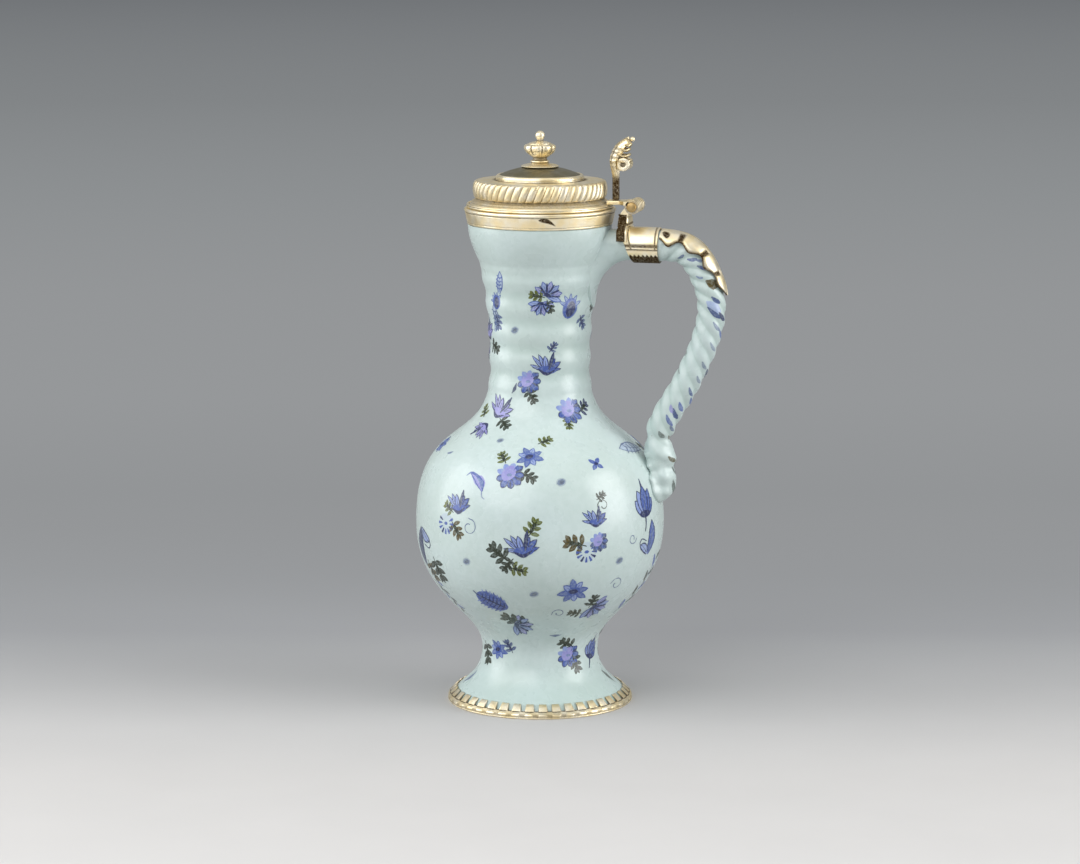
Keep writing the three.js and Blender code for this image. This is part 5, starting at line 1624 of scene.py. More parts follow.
@dataclass
class Hinge:
    """The post on the sleeve, the arm on the lid, and the five-barrel hinge between them."""

    handle: Handle
    lid_seat: float
    reach: float = 48.0
    rise: float = 1.5
    barrel: float = 3.6
    barrels: int = 5
    width: float = 15.0
    pin: float = 1.1
    pin_clearance: float = 0.16
    head: Pair = (2.5, 1.2)
    strap_sheet: float = 1.1
    post_thickness: float = 5.0
    post_width: float = 10.0
    post_inset: float = 2.2
    post_headroom: float = 0.4
    post_strip: float = 0.5
    post_shoulder: float = 3.0
    post_skirt: float = 6.2
    post_groove: float = 0.5
    post_grooves: Pair = (1.0, 6.2)
    arm_thickness: float = 1.9
    arm_width: float = 9.0
    arm_flare: float = 3.0
    rim_height: float = 1.9
    lid_wall: float = 34.8

    def __post_init__(self) -> None:
        """Works out the heights of the pin and of the arm, and the pin's bore."""
        self.height = self.lid_seat + self.rise
        self.arm_bottom = self.lid_seat + self.rim_height + SEAT_GAP
        self.bore = self.pin + self.pin_clearance

    def build(self, bench: Bench) -> None:
        """Makes the post, the arm, the pin and its riveted end."""
        bench.piece("hinge_post", self._post(), "jug", "hinge_standard", crease=30.0)
        bench.piece("lid_arm", self._arm(), "lid", "lid_hinge_arm", crease=30.0)
        bench.piece("pin", self._pin(), "jug", "hinge_pin", finish=Finish.BROWN)
        bench.piece("pin_rivet", self._rivet(), "jug", "hinge_pin_cap", finish=Finish.BROWN)

    def _span(self, index: int) -> Pair:
        """Gives where a barrel starts and ends across the hinge."""
        pitch = (self.width + HINGE_GAP) / self.barrels
        start = -self.width / 2 + index * pitch
        return start, start + pitch - HINGE_GAP

    def _barrel(self, index: int) -> Skin:
        """Makes one hollow barrel with a rounded bead at each end."""
        start, end = self._span(index)
        bore, barrel = self.bore, self.barrel
        lower = stepped((barrel, start), (-0.15, 0.0), (0.0, 0.3), (-0.2, 0.7))
        upper = stepped((barrel, end), (-0.2, -0.7), (0.0, -0.3), (-0.15, 0.0))
        outline = rounded([(bore, start), *lower, *upper, (bore, end)], 0.2, 2)

        def recess_and_shade(out: float, up: float) -> float:
            """Darkens the groove inside each bead, and the ends."""
            inside = min(up - start, end - up)
            is_groove = 0.6 < inside < 0.95 and bore + 0.5 < out < barrel - 0.12
            return 0.7 if is_groove or out < bore + 0.2 else 0.5 * (inside < 0.25 and out < barrel - 0.1)

        part = Skin.spun(outline, 56, recess_and_shade=recess_and_shade)
        return part.moved(lambda p: Vector((self.reach + p.x, -p.z, self.height + p.y)))

    def _web(self, index: int, outline: Sequence[Pair], radius: float) -> Skin:
        """Joins a barrel to its plate by a block of the outline, seen from the side."""
        web = rounded(outline, radius, 3)
        if len(web) % 2:
            web.append(web[-1])
        return Skin().loft([[Vector((x, y, z)) for x, z in web] for y in self._span(index)])

    def _post(self) -> Skin:
        """Makes the post astride the sleeve, with its two barrels."""
        handle = self.handle
        back = self.reach - self.post_inset
        front = back - self.post_thickness
        strip = back - self.post_strip
        top = self.height - self.barrel - self.post_headroom
        saddle = SEAT_GAP * 2 + self.strap_sheet
        across, above = handle.root_half_width + saddle, handle.root_half_height + saddle
        crown = handle.top + handle.root_half_height
        shoulder = crown + self.post_shoulder
        foot = crown + self.strap_sheet - self.post_skirt
        outer, half = across + self.strap_sheet, self.post_width / 2
        neck = [(half + 1.2, shoulder), (half, shoulder + 2.4), (half, top)]
        side = rounded([(outer, foot), (outer, shoulder - 3.2), *neck], 1.4, 5, closed=False)
        sections = []
        for place in spread(0.0, len(side) - 1, 50):
            i = min(int(place), len(side) - 2)
            width, level = (mix(side[i][axis], side[i + 1][axis], place - i) for axis in (0, 1))
            line = []
            for y in spread(-width, width, 33):
                over = handle.top + above * sqrt(1.0 - min(abs(y) / across, 1.0) ** 2)
                z = max(level, over, foot)
                groove = sum(math.exp(-(((z - top + down) / 0.5) ** 2)) for down in self.post_grooves)
                line.append((y, z, self.post_groove * groove))
            face = [Vector((front + groove, y, z)) for y, z, groove in line]
            rear = [Vector((back - groove, y, z)) for y, z, groove in reversed(line)]
            right = [Vector((x, *line[-1][:2])) for x in (strip - 0.4, strip)]
            left = [Vector((x, *line[0][:2])) for x in (strip, strip - 0.4)]
            sections.append(face + right + rear + left)

        def recess_and_shade(row: int, column: int) -> float:
            """Paints the post's front and sides dark as a dark reflection and shade, leaving the strip along
            its back bright where the light falls, and darkens a line at its shoulder.
            """
            point = sections[row][column]
            return max(float(point.x < strip - 0.2), 0.85 * fall(abs(point.z - shoulder), 0.35, 0.8))

        skin = Skin().loft(sections, recess_and_shade)
        web = [(front + 1.0, top - 0.6), (front + 1.0, top + 0.5), (self.reach - 2.4, self.height + 1.6),
               (self.reach - 1.5, self.height - 1.7), (back - 0.2, top - 0.6)]
        for index in (1, 3):
            skin.take(self._barrel(index))
            skin.take(self._web(index, web, 0.4))
        return skin

    def _arm(self) -> Skin:
        """Makes the lid's arm with its three barrels."""
        bottom, top = self.arm_bottom, self.arm_bottom + self.arm_thickness
        front, half = self.reach - self.barrel, self.arm_width / 2
        line = [(self.lid_wall, half), (front - self.arm_flare, half), (front - 0.4, self.width / 2)]
        rows = []
        for x, half in rounded(line, 1.2, 5, closed=False):
            outline = rounded([(-half, bottom), (half, bottom), (half, top), (-half, top)], 0.35, 3)
            rows.append([Vector((x, y, z)) for y, z in outline])
        skin = Skin().loft(rows)
        web = [(front - 0.6, bottom), (self.reach - 1.4, bottom), (self.reach - 1.6, self.height + 2.6),
               (front + 0.6, top), (front - 0.6, top)]
        for index in (0, 2, 4):
            skin.take(self._web(index, web, 0.3))
            skin.take(self._barrel(index))
        return skin

    def _pin(self) -> Skin:
        """Makes the pin with its domed head."""
        end = self.width / 2 + SEAT_GAP
        radius, height = self.head
        tail = end + height / 2
        dome = arc((0.0, -end - 0.3), (radius, height - 0.3), -86, 0, 10)
        shaft = [(radius, -end), (self.pin, -end), (self.pin, tail), (0.0, tail)]
        return self._across([(0.0, -end - height), *dome, *shaft])

    def _rivet(self) -> Skin:
        """Makes the riveted end of the pin."""
        start = self.width / 2 + SEAT_GAP
        radius, height = self.head
        inside, rim = start + height / 2 + SEAT_GAP, start + height * 0.4
        hollow = [(0.0, inside), (self.bore, inside), (self.bore, start), (radius, start), (radius, rim)]
        return self._across([*hollow, *arc((0.0, rim), (radius, height), 8, 88, 10), (0.0, rim + height)])

    def _across(self, outline: Sequence[Pair]) -> Skin:
        """Turns an outline about the pin's own line."""
        part = Skin.spun(outline, 40, False, lambda out, up: 0.15)
        return part.moved(lambda p: Vector((self.reach + p.x, p.z, self.height + p.y)))


# Thumbpiece


@dataclass
class Thumbpiece:
    """A stem that opens into a ribbed shell, with a scroll behind it and a ball at its tip."""

    hinge: Hinge
    stem: Pair = (4.4, 3.0)
    shell: Pair = (17.0, 2.2)
    height: float = 29.0
    lean: float = 7.0
    setback: float = 9.5
    opening: Pair = (0.3, 0.68)
    ribs: int = 5
    rib_depth: float = 0.5
    curl: float = 1.6
    scroll: float = 3.3
    scroll_width: float = 9.0
    scroll_stand: float = 0.8
    scroll_step: int = 67
    bead: float = 1.2
    bands: int = 4
    band_steps: Pair = (76, 111)
    band_reach: Pair = (7.4, 3.0)
    band_width: Pair = (11.0, 6.0)
    band_thickness: float = 2.0
    haze: float = 0.14
    steps: int = 120
    rib_steps: int = 12
    rise: tuple[Pair, ...] = ((0.0, 0.0), (0.0, 0.38), (0.04, 0.6), (0.22, 0.79), (0.58, 0.93), (1.0, 1.0))

    def build(self, bench: Bench) -> None:
        """Makes the thumbpiece and its ball."""
        foot = self.hinge.arm_bottom + self.hinge.arm_thickness + SEAT_GAP
        x = self.hinge.reach - self.setback
        points = [Vector((x + self.lean * lean, 0.0, foot + self.height * up)) for lean, up in self.rise]
        path = through(points, self.steps + 1)
        count = self.ribs * self.rib_steps
        shares = spread(0.0, 1.0, self.steps // 2 + 1)
        rows = []
        for i in range(0, self.steps + 1, 2):
            along = (path[min(i + 1, self.steps)] - path[max(i - 1, 0)]).normalized()
            rows.append(self._section(i / self.steps, path[i], Vector((along.z, 0.0, -along.x)), count))
        skin = Skin().loft(rows, lambda i, k: self._dark(shares[i], min(k, 2 * count + 1 - k) / count))
        self._scroll(skin, path[self.scroll_step])
        self._bands(skin, path)
        bench.piece("thumb_shell", skin, "lid", "thumbpiece", crease=50.0)
        tip = path[-1] + (path[-1] - path[-2]).normalized() * (self.bead + SEAT_GAP)
        ball = Skin.spun(arc((0.0, 0.0), (self.bead, self.bead), -90.0, 90.0, 16), 32, False)
        bench.piece("thumb_ball", ball.moved(lambda p: p + tip), "lid", "thumbpiece_bead")

    def _section(self, share: float, place: Vector, back: Vector, count: int) -> list[Vector]:
        """Gives the shell's section at a share of its height.

        Args:
            share: The share.
            place: The section's middle.
            back: Which way is backwards.
            count: How many steps it has across.

        Returns:
            The section, over its front and back along its rear.
        """
        opened = smooth(share, *self.opening)
        scallop = 1.0 - 0.09 * opened * abs(sin(pi * share * 13.0))
        width = mix(self.stem[0], self.shell[0] * scallop, opened * fall(share, 0.82, 1.0))
        thickness = mix(self.stem[1], self.shell[1], opened)
        front: list[Vector] = []
        rear: list[Vector] = []
        for k in range(count + 1):
            side = 2.0 * k / count - 1.0
            rib = -cos(2 * pi * self.ribs * k / count) * self.rib_depth * opened
            edge = sqrt(max(1.0 - abs(side) ** 6, 0.0))
            middle = place + Vector((0.0, side * width / 2, 0.0)) - back * (self.curl * opened * side * side)
            half = thickness / 2 * mix(0.25, 1.0, edge)
            front.append(middle + back * (rib * 0.3 - half))
            rear.insert(0, middle + back * (half + rib * edge))
        return front + rear

    def _dark(self, share: float, across: float) -> float:
        """Darkens the valleys between ribs, and paints the foot of the stem dark as a dark reflection."""
        valley = smooth(share, *self.opening) * smooth(cos(2 * pi * self.ribs * across), 0.4, 1.0)
        return max(0.6 * valley, 0.95 * fall(share, 0.3, 0.44), self.haze)

    def _bands(self, skin: Skin, path: Sequence[Vector]) -> None:
        """Adds the curled fingers behind the shell, each shorter than the one below it."""
        for k in range(self.bands):
            share = k / (self.bands - 1)
            root = path[int(mix(*self.band_steps, share))]
            reach = mix(*self.band_reach, share)
            half = mix(*self.band_width, share) / 2
            rows = []
            for t in spread(0.0, 1.0, 9):
                narrow = sqrt(max(1.0 - t ** 3, 0.03))
                centre = root + Vector((reach * t, 0.0, -0.9 * sin(pi * t) - 0.3 * t))
                rows.append(oval(centre, half * narrow, self.band_thickness / 4 * (1.0 + narrow), 16))
            # Painted shade: the underside of each finger is darkened.
            skin.loft(rows, lambda i, j: 0.7 if sin(2 * pi * j / 16) < -0.6 else self.haze)

    def _scroll(self, skin: Skin, place: Vector) -> None:
        """Adds the scroll, a rolled bar with a dark, sunk hollow at each end."""
        x = place.x + self.scroll + self.scroll_stand
        half, radius = self.scroll_width / 2, self.scroll
        side = [(0.9, half - 0.5), (1.5, half), (radius - 0.3, half), (radius, half - 0.5)]
        outline = [(out, -up) for out, up in side] + [(radius - 0.7, 0.0)] + side[::-1]
        bar = Skin.spun(rounded(outline, 0.4, 4), 48, recess_and_shade=lambda out, up: 0.7 * (out < 1.4))
        core = [(0.0, -half + 0.7), (1.0, -half + 0.7), (1.0, half - 0.7), (0.0, half - 0.7)]
        for part in (bar, Skin.spun(core, 20, False, lambda out, up: 0.8)):
            skin.take(part.moved(lambda p: Vector((x + p.x, -p.z, place.z + p.y))))
        link = [Vector((place.x, 0.0, place.z - 2.4)), Vector((place.x + 1.4, 0.0, place.z - 1.6)),
                Vector((x - 1.6, 0.0, place.z - 1.0))]
        sizes = spread(2.6, 1.4, 6)
        skin.loft([oval(centre, size, size * 0.8, 12) for centre, size in zip(through(link, 6), sizes)])


# Lid


@dataclass
class Lid:
    """The raised lid: a moulded rim, a cove, leaning gadroons, and a flat top with a ring and a low dome."""

    seat: float
    mouth_bore: float
    sheet: float = 1.3
    wall: float = 34.8
    rim: Pair = (1.4, 1.9)
    cove: Pair = (2.4, 2.6)
    gadroons: int = 52
    gadroon_rise: float = 0.38
    gadroon_haze: float = 0.2
    gadroon_lean: float = 6.0
    gadroon_radius: float = 32.9
    gadroon_height: float = 8.6
    gadroon_bulge: float = 1.5
    top_radius: float = 29.5
    plateau: float = 25.7
    bezel_gap: float = 0.6
    bezel_depth: float = 3.0
    bezel_sheet: float = 0.9
    ring_radius: float = 21.9
    ring_width: float = 2.0
    ring_height: float = 2.6
    disc_rise: float = 4.2
    disc_sheet: float = 1.0
    stud_bore: float = 1.5

    def __post_init__(self) -> None:
        """Works out the heights of its rim, gadroons and flat top, and the radii of what is fitted in."""
        self.rim_top = self.seat + self.rim[1]
        self.cove_top = self.rim_top + self.cove[1]
        self.gadroon_top = self.cove_top + self.gadroon_height
        self.flat = self.gadroon_top + 0.3
        self.bezel = self.mouth_bore - self.bezel_gap
        self.disc_radius = self.ring_radius - self.ring_width - SEAT_GAP

    def disc_height(self, radius: float) -> float:
        """Gives the low dome's height at a radius."""
        return self.flat + self.ring_height + self.disc_rise * (1.0 - (radius / self.disc_radius) ** 2)

    def build(self, bench: Bench) -> None:
        """Makes the lid's pieces."""
        bench.piece("gadrooned_lid", self._dome(), "lid", "lid_dome", crease=45.0)
        bench.piece("lid_edge", self._edge(), "lid", "lid_rim_moulding")
        bench.piece("lid_bezel_ring", self._bezel(), "lid", "lid_bezel")
        bench.piece("lid_top_ring", self._ring(), "lid", "lid_disc_ring")
        bench.piece("lid_low_dome", self._disc(), "lid", "lid_disc", finish=Finish.DARK)

    def _dome(self) -> Skin:
        """Makes the hollow cap with its gadroons."""
        middle = (self.cove_top + self.gadroon_top) / 2
        inner, wall, rim_top, flat = self.bezel + SEAT_GAP, self.wall, self.rim_top, self.flat
        ring, bore, under = self.ring_radius, self.stud_bore, self.flat - self.sheet
        cove = stepped((wall, rim_top), (0.0, 0.0), (-0.9, 0.5), (-1.5, 1.5))
        cove.append((wall - self.cove[0], self.cove_top - 0.8))
        foot = rounded([(inner, self.seat), (wall, self.seat), *cove], 0.3, 2, closed=False)
        bulge = (self.gadroon_bulge, self.gadroon_height / 2)
        rolls = arc((self.gadroon_radius - self.gadroon_bulge, middle), bulge, -82, 86, 26)
        crest = stepped((self.top_radius, self.gadroon_top), (0.4, 0.0), (-1.5, 0.1))
        level = [(out, flat) for out in (self.plateau, ring + 2.4, ring + 1.2, ring + 0.4, bore)]
        inside = [(bore, under), (self.top_radius - 2.0, under), (inner, middle)]
        top = rounded([*crest, *level, *inside], 0.4, closed=False)

        def section(degrees: float) -> list[Spot]:
            """Works the gadroons into the side."""
            wave = abs(cos(radians(degrees) * self.gadroons / 2))
            spots = [Spot(out, up, 0.5 * (rim_top + 0.3 < up)) for out, up in foot]
            for share, (out, up) in zip(spread(0.0, 1.0, len(rolls)), rolls):
                swell = smooth(share, 0.0, 0.16) * fall(share, 0.86, 1.0)
                rise = self.gadroon_rise * (2.0 * wave ** 0.7 - 1.0) * swell
                hollow = 0.5 * smooth(1.0 - wave, 0.55, 1.0) * swell
                depth = max(hollow, 0.7 * fall(share, 0.02, 0.14), self.gadroon_haze)
                lean = (up - middle) / self.gadroon_height * self.gadroon_lean
                spots.append(Spot(out + rise, up, depth, lean))
            # Painted shadow: the flat top darkens towards the foot of the ring that stands on it.
            for out, up in top:
                spots.append(Spot(out, up, 0.85 * fall(out - ring, 0.2, 2.6) * (up > self.gadroon_top - 0.1)))
            return spots

        return Skin.turned(turns(self.gadroons * 14), section)

    def _edge(self) -> Skin:
        """Makes the moulding round the lid's edge."""
        inner, seat, top = self.wall + SEAT_GAP, self.seat, self.rim_top
        outer = inner + self.rim[0]
        face = stepped((outer, seat), (-0.4, 0.0), (0.0, 0.5), (-0.1, 0.95), (-0.35, 1.1), (-0.2, 1.45))
        outline = rounded([(inner, seat), *face, (outer - 0.5, top), (inner, top)], 0.18)

        def recess_and_shade(out: float, up: float) -> float:
            """Darkens the groove round the edge."""
            return 0.75 * (abs(up - seat - 1.1) < 0.13 and out > outer - 0.5)

        return Skin.spun(outline, 240, recess_and_shade=recess_and_shade)

    def _bezel(self) -> Skin:
        """Makes the ring that drops into the mouth."""
        inner, bottom = self.bezel - self.bezel_sheet, self.seat - self.bezel_depth
        outer, top = self.bezel, self.rim_top
        outline = rounded([(inner, bottom), (outer, bottom), (outer, top), (inner, top)], 0.3)
        return Skin.spun(outline, 200, recess_and_shade=lambda out, up: 0.1)

    def _ring(self) -> Skin:
        """Makes the bright ring on the flat top."""
        outer, inner, base = self.ring_radius, self.ring_radius - self.ring_width, self.flat
        top = base + self.ring_height
        face = stepped((outer, base), (0.0, 0.0), (0.0, 0.5), (-0.25, 0.7), (-0.1, 1.5))
        outline = rounded([(inner, base), *face, (outer - 0.8, top), (inner, top)], 0.35, 4)

        def recess_and_shade(out: float, up: float) -> float:
            """Darkens the groove round the ring."""
            return 0.7 * (abs(up - base - 0.6) < 0.12 and out > outer - 0.3)

        return Skin.spun(outline, 220, recess_and_shade=recess_and_shade)

    def _disc(self) -> Skin:
        """Makes the low dome inside the ring."""
        radius, sheet = self.disc_radius, self.disc_sheet
        over = [(r, self.disc_height(r)) for r in spread(radius - 0.15, self.stud_bore, 28)]
        under = [(r - sheet, self.disc_height(r) - sheet) for r in spread(3.2, radius, 14)]
        outline = [(radius - sheet, self.flat), (radius, self.flat), (radius, self.disc_height(radius) - 0.2),
                   *over, (self.stud_bore, over[-1][1] - sheet), *under]
        return Skin.spun(outline, 160, recess_and_shade=lambda out, up: 0.12)


# Finial


@dataclass
class Finial:
    """The knob on the lid: a flared base, a lobed bud and a ball, held by a stud, a washer and a nut."""

    lid: Lid
    base: Pair = (9.5, 3.8)
    knop: Pair = (4.7, 3.4)
    cup_foot: float = 3.7
    cup: Pair = (7.6, 6.7)
    lobes: int = 8
    lobe_rise: float = 0.45
    tip: Pair = (5.6, 6.5)
    ball: float = 2.4
    stud: float = 1.2
    stud_tail: float = 1.4
    thread: float = 0.12
    thread_steps: int = 160
    washer: Pair = (5.0, 0.7)
    nut: Pair = (3.4, 2.4)
    nut_facets: int = 6

    def __post_init__(self) -> None:
        """Works out where its parts stand, and its bore."""
        self.seat = self.lid.flat + self.lid.ring_height + self.lid.disc_rise + SEAT_GAP
        self.cup_seat = self.seat + self.base[1]
        self.tip_seat = self.cup_seat + self.cup[1]
        self.under = self.lid.flat - self.lid.sheet
        self.nut_top = self.under - self.washer[1]
        self.bore = self.lid.stud_bore

    def build(self, bench: Bench) -> None:
        """Makes the finial's pieces."""
        bench.piece("finial_foot", self._foot(), "lid", "finial_base")
        bench.piece("finial_bud", self._bud(), "lid", "finial_cup", crease=50.0)
        bench.piece("finial_ball", self._cap(), "lid", "finial_tip")
        bench.piece("stud", self._stud(), "lid", "finial_stud", finish=Finish.DARK)
        washer = self._flat_ring(self.washer, self.under, 96)
        nut = self._flat_ring(self.nut, self.nut_top, self.nut_facets)
        bench.piece("washer", washer, "lid", "finial_washer", finish=Finish.DARK)
        bench.piece("nut", nut, "lid", "finial_nut", finish=Finish.DARK)

    def _foot(self) -> Skin:
        """Makes the flared base and its knop, darker at its necks."""
        radius, seat, top, bore = self.base[0], self.seat, self.cup_seat, self.bore
        edge = self.lid.disc_height(radius) + SEAT_GAP * 2
        knop, neck = self.knop
        under = [(r, self.lid.disc_height(r) + SEAT_GAP * 1.4) for r in spread(3.0, radius - 0.5, 8)]
        flare = stepped((radius, edge), (-0.3, 0.0), (0.0, 0.3), (-0.5, 0.6))
        flare += stepped((0.0, seat), (7.0, 0.55), (5.2, 0.9), (4.0, 1.3))
        stem = stepped((neck, seat), (0.3, 2.6), (0.0, 3.0))
        outline = [
            (bore, seat), *under, *rounded(flare, 0.35, closed=False),
            *arc((knop - 0.7, seat + 1.95), (0.7, 0.5), -70, 80, 10),
            *rounded([*stem, (neck, top), (bore, top)], 0.3, closed=False),
        ]
        return Skin.spun(outline, 120, recess_and_shade=lambda out, up: 0.75 if out < 4.1 and up > seat + 1.0 else 0.1)

    def _bud(self) -> Skin:
        """Makes the lobed bud."""
        bore, low, high, (wide, height) = self.bore, self.cup_seat, self.tip_seat, self.cup
        foot, full = self.cup_foot, (wide - 0.1, low + height * 0.62)
        side = bezier([(foot, low), (foot + 1.4, low + 1.4), (wide * 0.92, low + height * 0.35), full], 14)
        over = [(wide + 0.3, low + height * 0.86), (wide * 0.92, high - 0.1), (self.tip[0], high)]
        crown = bezier([side[-1], *over], 12)

        def section(degrees: float) -> list[Spot]:
            """Swells the lobes, each with a crease beside it."""
            wave = abs(cos(radians(degrees) * self.lobes / 2))
            lobe = self.lobe_rise * (2.0 * wave ** 0.6 - 1.0)
            crease = 0.8 * smooth(1.0 - wave, 0.6, 1.0)
            spots = [Spot(bore, low, 0.5)]
            for out, up in [*side, *crown[1:]]:
                share = (up - low) / height
                swell = smooth(share, 0.02, 0.4) * fall(share, 0.88, 1.0)
                spots.append(Spot(out + lobe * swell, up, max(crease * swell, 0.7 * fall(share, 0.0, 0.2))))
            return [*spots, Spot(bore, high, 0.5)]

        return Skin.turned(turns(self.lobes * 24), section)

    def _cap(self) -> Skin:
        """Makes the cap over the bud and its ball."""
        bore, radius, ball, low = self.bore, self.tip[0], self.ball, self.tip_seat
        centre = low + self.tip[1] - ball
        cap = stepped((radius, low), (-0.1, 0.0), (-0.1, 0.35)) + [(radius * 0.7, low + 0.9)]
        cap += stepped((0.0, low), (2.0, 1.3), (1.5, 1.9))
        outline = [
            (0.0, low + 1.4), (bore, low + 1.4), (bore, low), *rounded(cap, 0.4, 4, closed=False),
            *arc((0.0, centre), (ball, ball), -50, 88, 24), (0.0, centre + ball),
        ]

        def recess_and_shade(out: float, up: float) -> float:
            """Darkens the neck under the ball."""
            return 0.7 if out < 2.2 and 1.2 < up - low < 2.2 else 0.05

        return Skin.spun(outline, 96, False, recess_and_shade)

    def _stud(self) -> Skin:
        """Makes the threaded stud."""
        bottom, top = self.nut_top - self.nut[1] - self.stud_tail, self.tip_seat + 1.1
        levels = spread(bottom + 0.3, top - 0.3, self.thread_steps + 1)
        threads = [(self.stud - self.thread * (i % 2), level) for i, level in enumerate(levels)]
        outline = [(0.0, bottom), (self.stud * 0.7, bottom), *threads, (self.stud * 0.8, top), (0.0, top)]
        return Skin.spun(outline, 24, False, lambda out, up: 0.3)

    def _flat_ring(self, size: Pair, high: float, facets: int) -> Skin:
        """Makes a washer or, with few facets, a nut, of a radius and a thickness under a height."""
        low = high - size[1]
        outline = rounded([(self.bore, low), (size[0], low), (size[0], high), (self.bore, high)], 0.15, 2)
        return Skin.spun(outline, facets, recess_and_shade=lambda out, up: 0.2)


# Studio


@dataclass(frozen=True)
class Lamp:
    """A large soft lamp: where it stands as bearing, height and distance, its size, and its power."""

    name: str
    bearing: float
    up: float
    away: float
    size: Pair
    power: float


@dataclass
class Studio:
    """The camera, the lamps, and a grey sweep that pales towards the front."""

    pitch: float = 9.6
    distance: float = 1.7325
    aim: float = 0.13614
    lamp_aim: float = 0.14
    lens: float = 115.5
    floor_size: float = 60.0
    floor_lit: str = "a8a8a8"
    floor_grain: str = "8a8a8a"
    near_tones: tuple[tuple[float, str], ...] = (
        (0.0, "d3d1cf"), (0.25, "cbc9c7"), (0.4, "c2c1c0"), (0.55, "b2b2b2"), (0.75, "9e9fa1"), (1.0, "97999b"),
    )
    far_tones: tuple[tuple[float, str], ...] = (
        (0.0, "9b9c9e"), (0.07, "939597"), (0.12, "96989a"), (0.2, "949698"), (0.32, "8d9092"),
        (0.52, "828587"), (1.0, "737679"),
    )
    fade: Pair = (0.12, 0.45)
    room_tones: tuple[tuple[float, str], ...] = ((0.0, "8e9193"), (0.6, "c9cbcd"))
    room_light: float = 0.8
    lamps: tuple[Lamp, ...] = (
        Lamp("key_lamp", -34.0, 32.0, 1.5, (1.2, 1.2), 11.2),
        Lamp("left_lamp", -88.0, 18.0, 1.4, (0.9, 1.3), 10.5),
        Lamp("right_lamp", 72.0, 18.0, 1.5, (0.9, 1.3), 16.0),
        Lamp("top_lamp", 10.0, 80.0, 1.6, (1.4, 1.4), 3.5),
    )

    def build(self, axis: float) -> None:
        """Sets up the camera, the floor, the lamps and the surroundings."""
        self._camera(axis)
        self._floor(axis)
        for lamp in self.lamps:
            self._lamp(lamp, axis)
        self._surroundings()
        bpy.context.scene.view_settings.view_transform = "Standard"

    @staticmethod
    def _direction(bearing: float, up: float) -> Vector:
        """Gives the direction of a bearing from the photographed side and an angle above the floor."""
        turn, rise = radians(FRONT + bearing), radians(up)
        return Vector((cos(turn) * cos(rise), sin(turn) * cos(rise), sin(rise)))

    @staticmethod
    def _stand(name: str, data: bpy.types.ID, target: Vector, towards: Vector, away: float
               ) -> bpy.types.Object:
        """Stands a camera or a lamp away from its target and turns it to it."""
        obj = bpy.data.objects.new(name, data)
        obj.location = target + towards * away
        obj.rotation_euler = (-towards).to_track_quat("-Z", "Y").to_euler()
        bpy.context.scene.collection.objects.link(obj)
        return obj

    def _camera(self, axis: float) -> None:
        """Adds the camera of the photograph."""
        data = bpy.data.cameras.new("camera")
        data.lens = self.lens
        data.sensor_width = 36.0
        data.sensor_fit = "HORIZONTAL"
        target = Vector((axis, 0.0, self.aim))
        camera = self._stand("camera", data, target, self._direction(0.0, self.pitch), self.distance)
        bpy.context.scene.camera = camera

    def _floor(self, axis: float) -> None:
        """Adds the floor, painted pale in front of the jug and grey behind it, where it glows as a painted
        backdrop.
        """
        half = self.floor_size / 2
        corners = [(-half, -half, 0.0), (half, -half, 0.0), (half, half, 0.0), (-half, half, 0.0)]
        mesh = bpy.data.meshes.new("floor")
        mesh.from_pydata(corners, [], [(0, 1, 2, 3)])
        graph = Graph("sweep")
        back = -self._direction(0.0, 0.0)
        depth = graph.node("ShaderNodeVectorMath", {0: graph.place, 1: tuple(back)}, operation="DOT_PRODUCT")
        behind = graph.calc(depth.outputs["Value"], back.x * axis, "SUBTRACT")
        near = self._ramp(graph, graph.remap(behind, -0.3, 0.3, 0.0, 1.0), self.near_tones)
        far = self._ramp(graph, graph.remap(behind, 0.0, 8.0, 0.0, 1.0), self.far_tones)
        grain = graph.remap(graph.noise(60, 3), 0.3, 0.7, 0.0, 0.04)
        rays = graph.node("ShaderNodeLightPath").outputs
        seen = graph.calc(rays["Is Camera Ray"], rays["Is Glossy Ray"], "MAXIMUM")
        seen = graph.calc(seen, rays["Is Transmission Ray"], "MAXIMUM")
        lit = graph.blend(seen, tone(self.floor_lit), graph.blend(grain, near, tone(self.floor_grain)))
        graph.fill(graph.shader, {"Base Color": lit, "Roughness": 0.9, "Specular IOR Level": 0.1})
        # Painted light: the near tones pale towards the front and the far floor glows for camera and glossy
        # rays, standing in for how the studio's light falls off over the sweep.
        share = graph.calc(seen, graph.remap(behind, *self.fade, 0.0, 1.0))
        glow = graph.node("ShaderNodeEmission", {"Color": far, "Strength": 1.0}).outputs[0]
        surface = graph.node("ShaderNodeMixShader", {0: share, 1: graph.shader.outputs[0], 2: glow})
        graph.fill(graph.tree.nodes["Material Output"], {"Surface": surface.outputs[0]})
        mesh.materials.append(graph.material)
        floor = bpy.data.objects.new("floor", mesh)
        bpy.context.scene.collection.objects.link(floor)

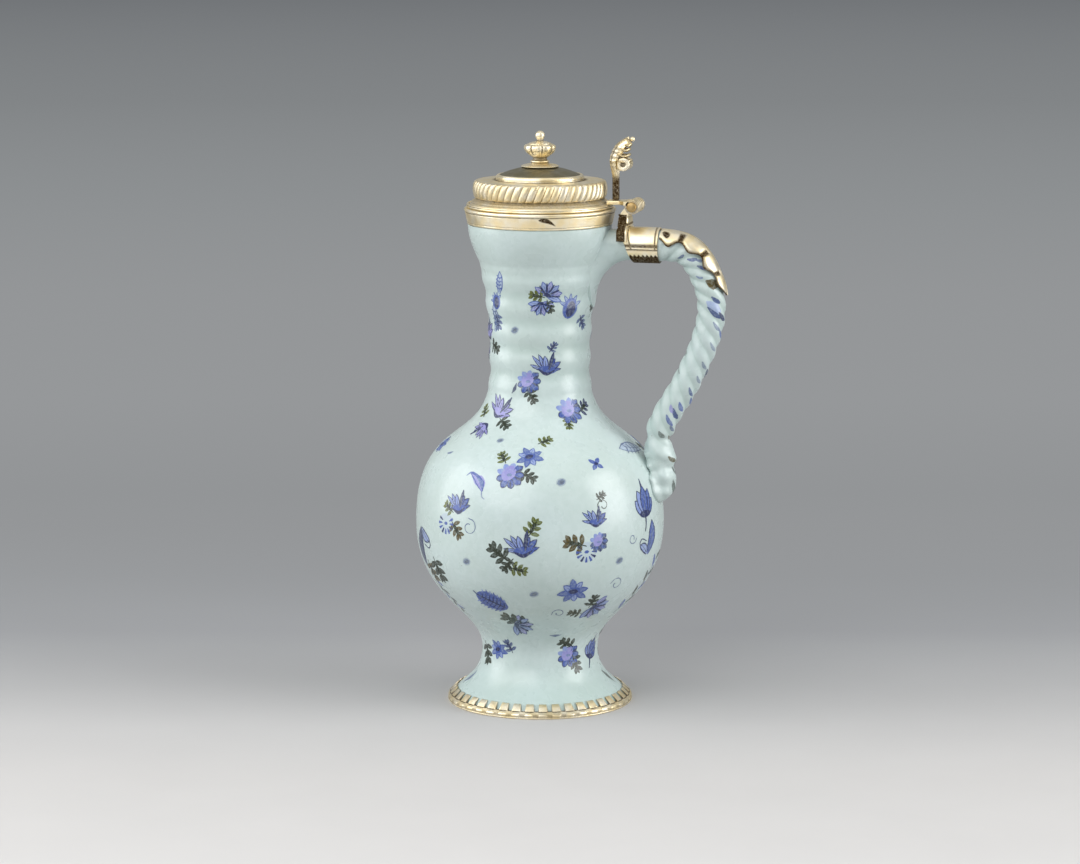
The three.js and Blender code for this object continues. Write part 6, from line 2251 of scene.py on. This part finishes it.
    @staticmethod
    def _ramp(graph: Graph, share: Socket, tones: Sequence[tuple[float, str]]) -> Socket:
        """Runs through tones at their places."""
        ramp = graph.node("ShaderNodeValToRGB", {"Fac": share})
        while len(ramp.color_ramp.elements) < len(tones):
            ramp.color_ramp.elements.new(0.5)
        for element, (place, code) in zip(ramp.color_ramp.elements, tones):
            element.position = place
            element.color = tone(code)
        return ramp.outputs["Color"]

    def _lamp(self, lamp: Lamp, axis: float) -> None:
        """Adds one lamp, turned to the jug."""
        data = bpy.data.lights.new(lamp.name, "AREA")
        data.shape = "RECTANGLE"
        data.size, data.size_y = lamp.size
        data.energy = lamp.power
        target = Vector((axis, 0.0, self.lamp_aim))
        self._stand(lamp.name, data, target, self._direction(lamp.bearing, lamp.up), lamp.away)

    def _surroundings(self) -> None:
        """Adds a grey room, darker where metal mirrors it from the sides."""
        world = bpy.data.worlds.new("room")
        bpy.context.scene.world = world
        world.use_nodes = True
        tree = world.node_tree
        place = tree.nodes.new("ShaderNodeTexCoord")
        height = tree.nodes.new("ShaderNodeSeparateXYZ")
        ramp = tree.nodes.new("ShaderNodeValToRGB")
        back = tree.nodes["Background"]
        tree.links.new(place.outputs["Generated"], height.inputs["Vector"])
        tree.links.new(height.outputs["Z"], ramp.inputs["Fac"])
        tree.links.new(ramp.outputs["Color"], back.inputs["Color"])
        for element, (share, code) in zip(ramp.color_ramp.elements, self.room_tones):
            element.position = share
            element.color = tone(code)
        back.inputs["Strength"].default_value = self.room_light


def main() -> None:
    """Builds the jug and its studio."""
    logging.basicConfig(level=logging.INFO, format="%(message)s")
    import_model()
    low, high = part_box("foot_base_moulding")
    axis = (low.x + high.x) / 2
    bench = Bench(axis)
    pot = Pot()
    handle = Handle(pot)
    mouth = MouthMount(pot)
    hinge = Hinge(handle, mouth.top + SEAT_GAP)
    lid = Lid(mouth.top + SEAT_GAP, mouth.bore)
    for work in (pot, handle, Painter(pot, handle), FootMount(pot), mouth, HandleStrap(handle), hinge,
                 Thumbpiece(hinge), lid, Finial(lid)):
        work.build(bench)
        log.info("built %s", type(work).__name__)
    Studio().build(axis)
    log.info("set up the studio")


if __name__ == "__main__":
    main()
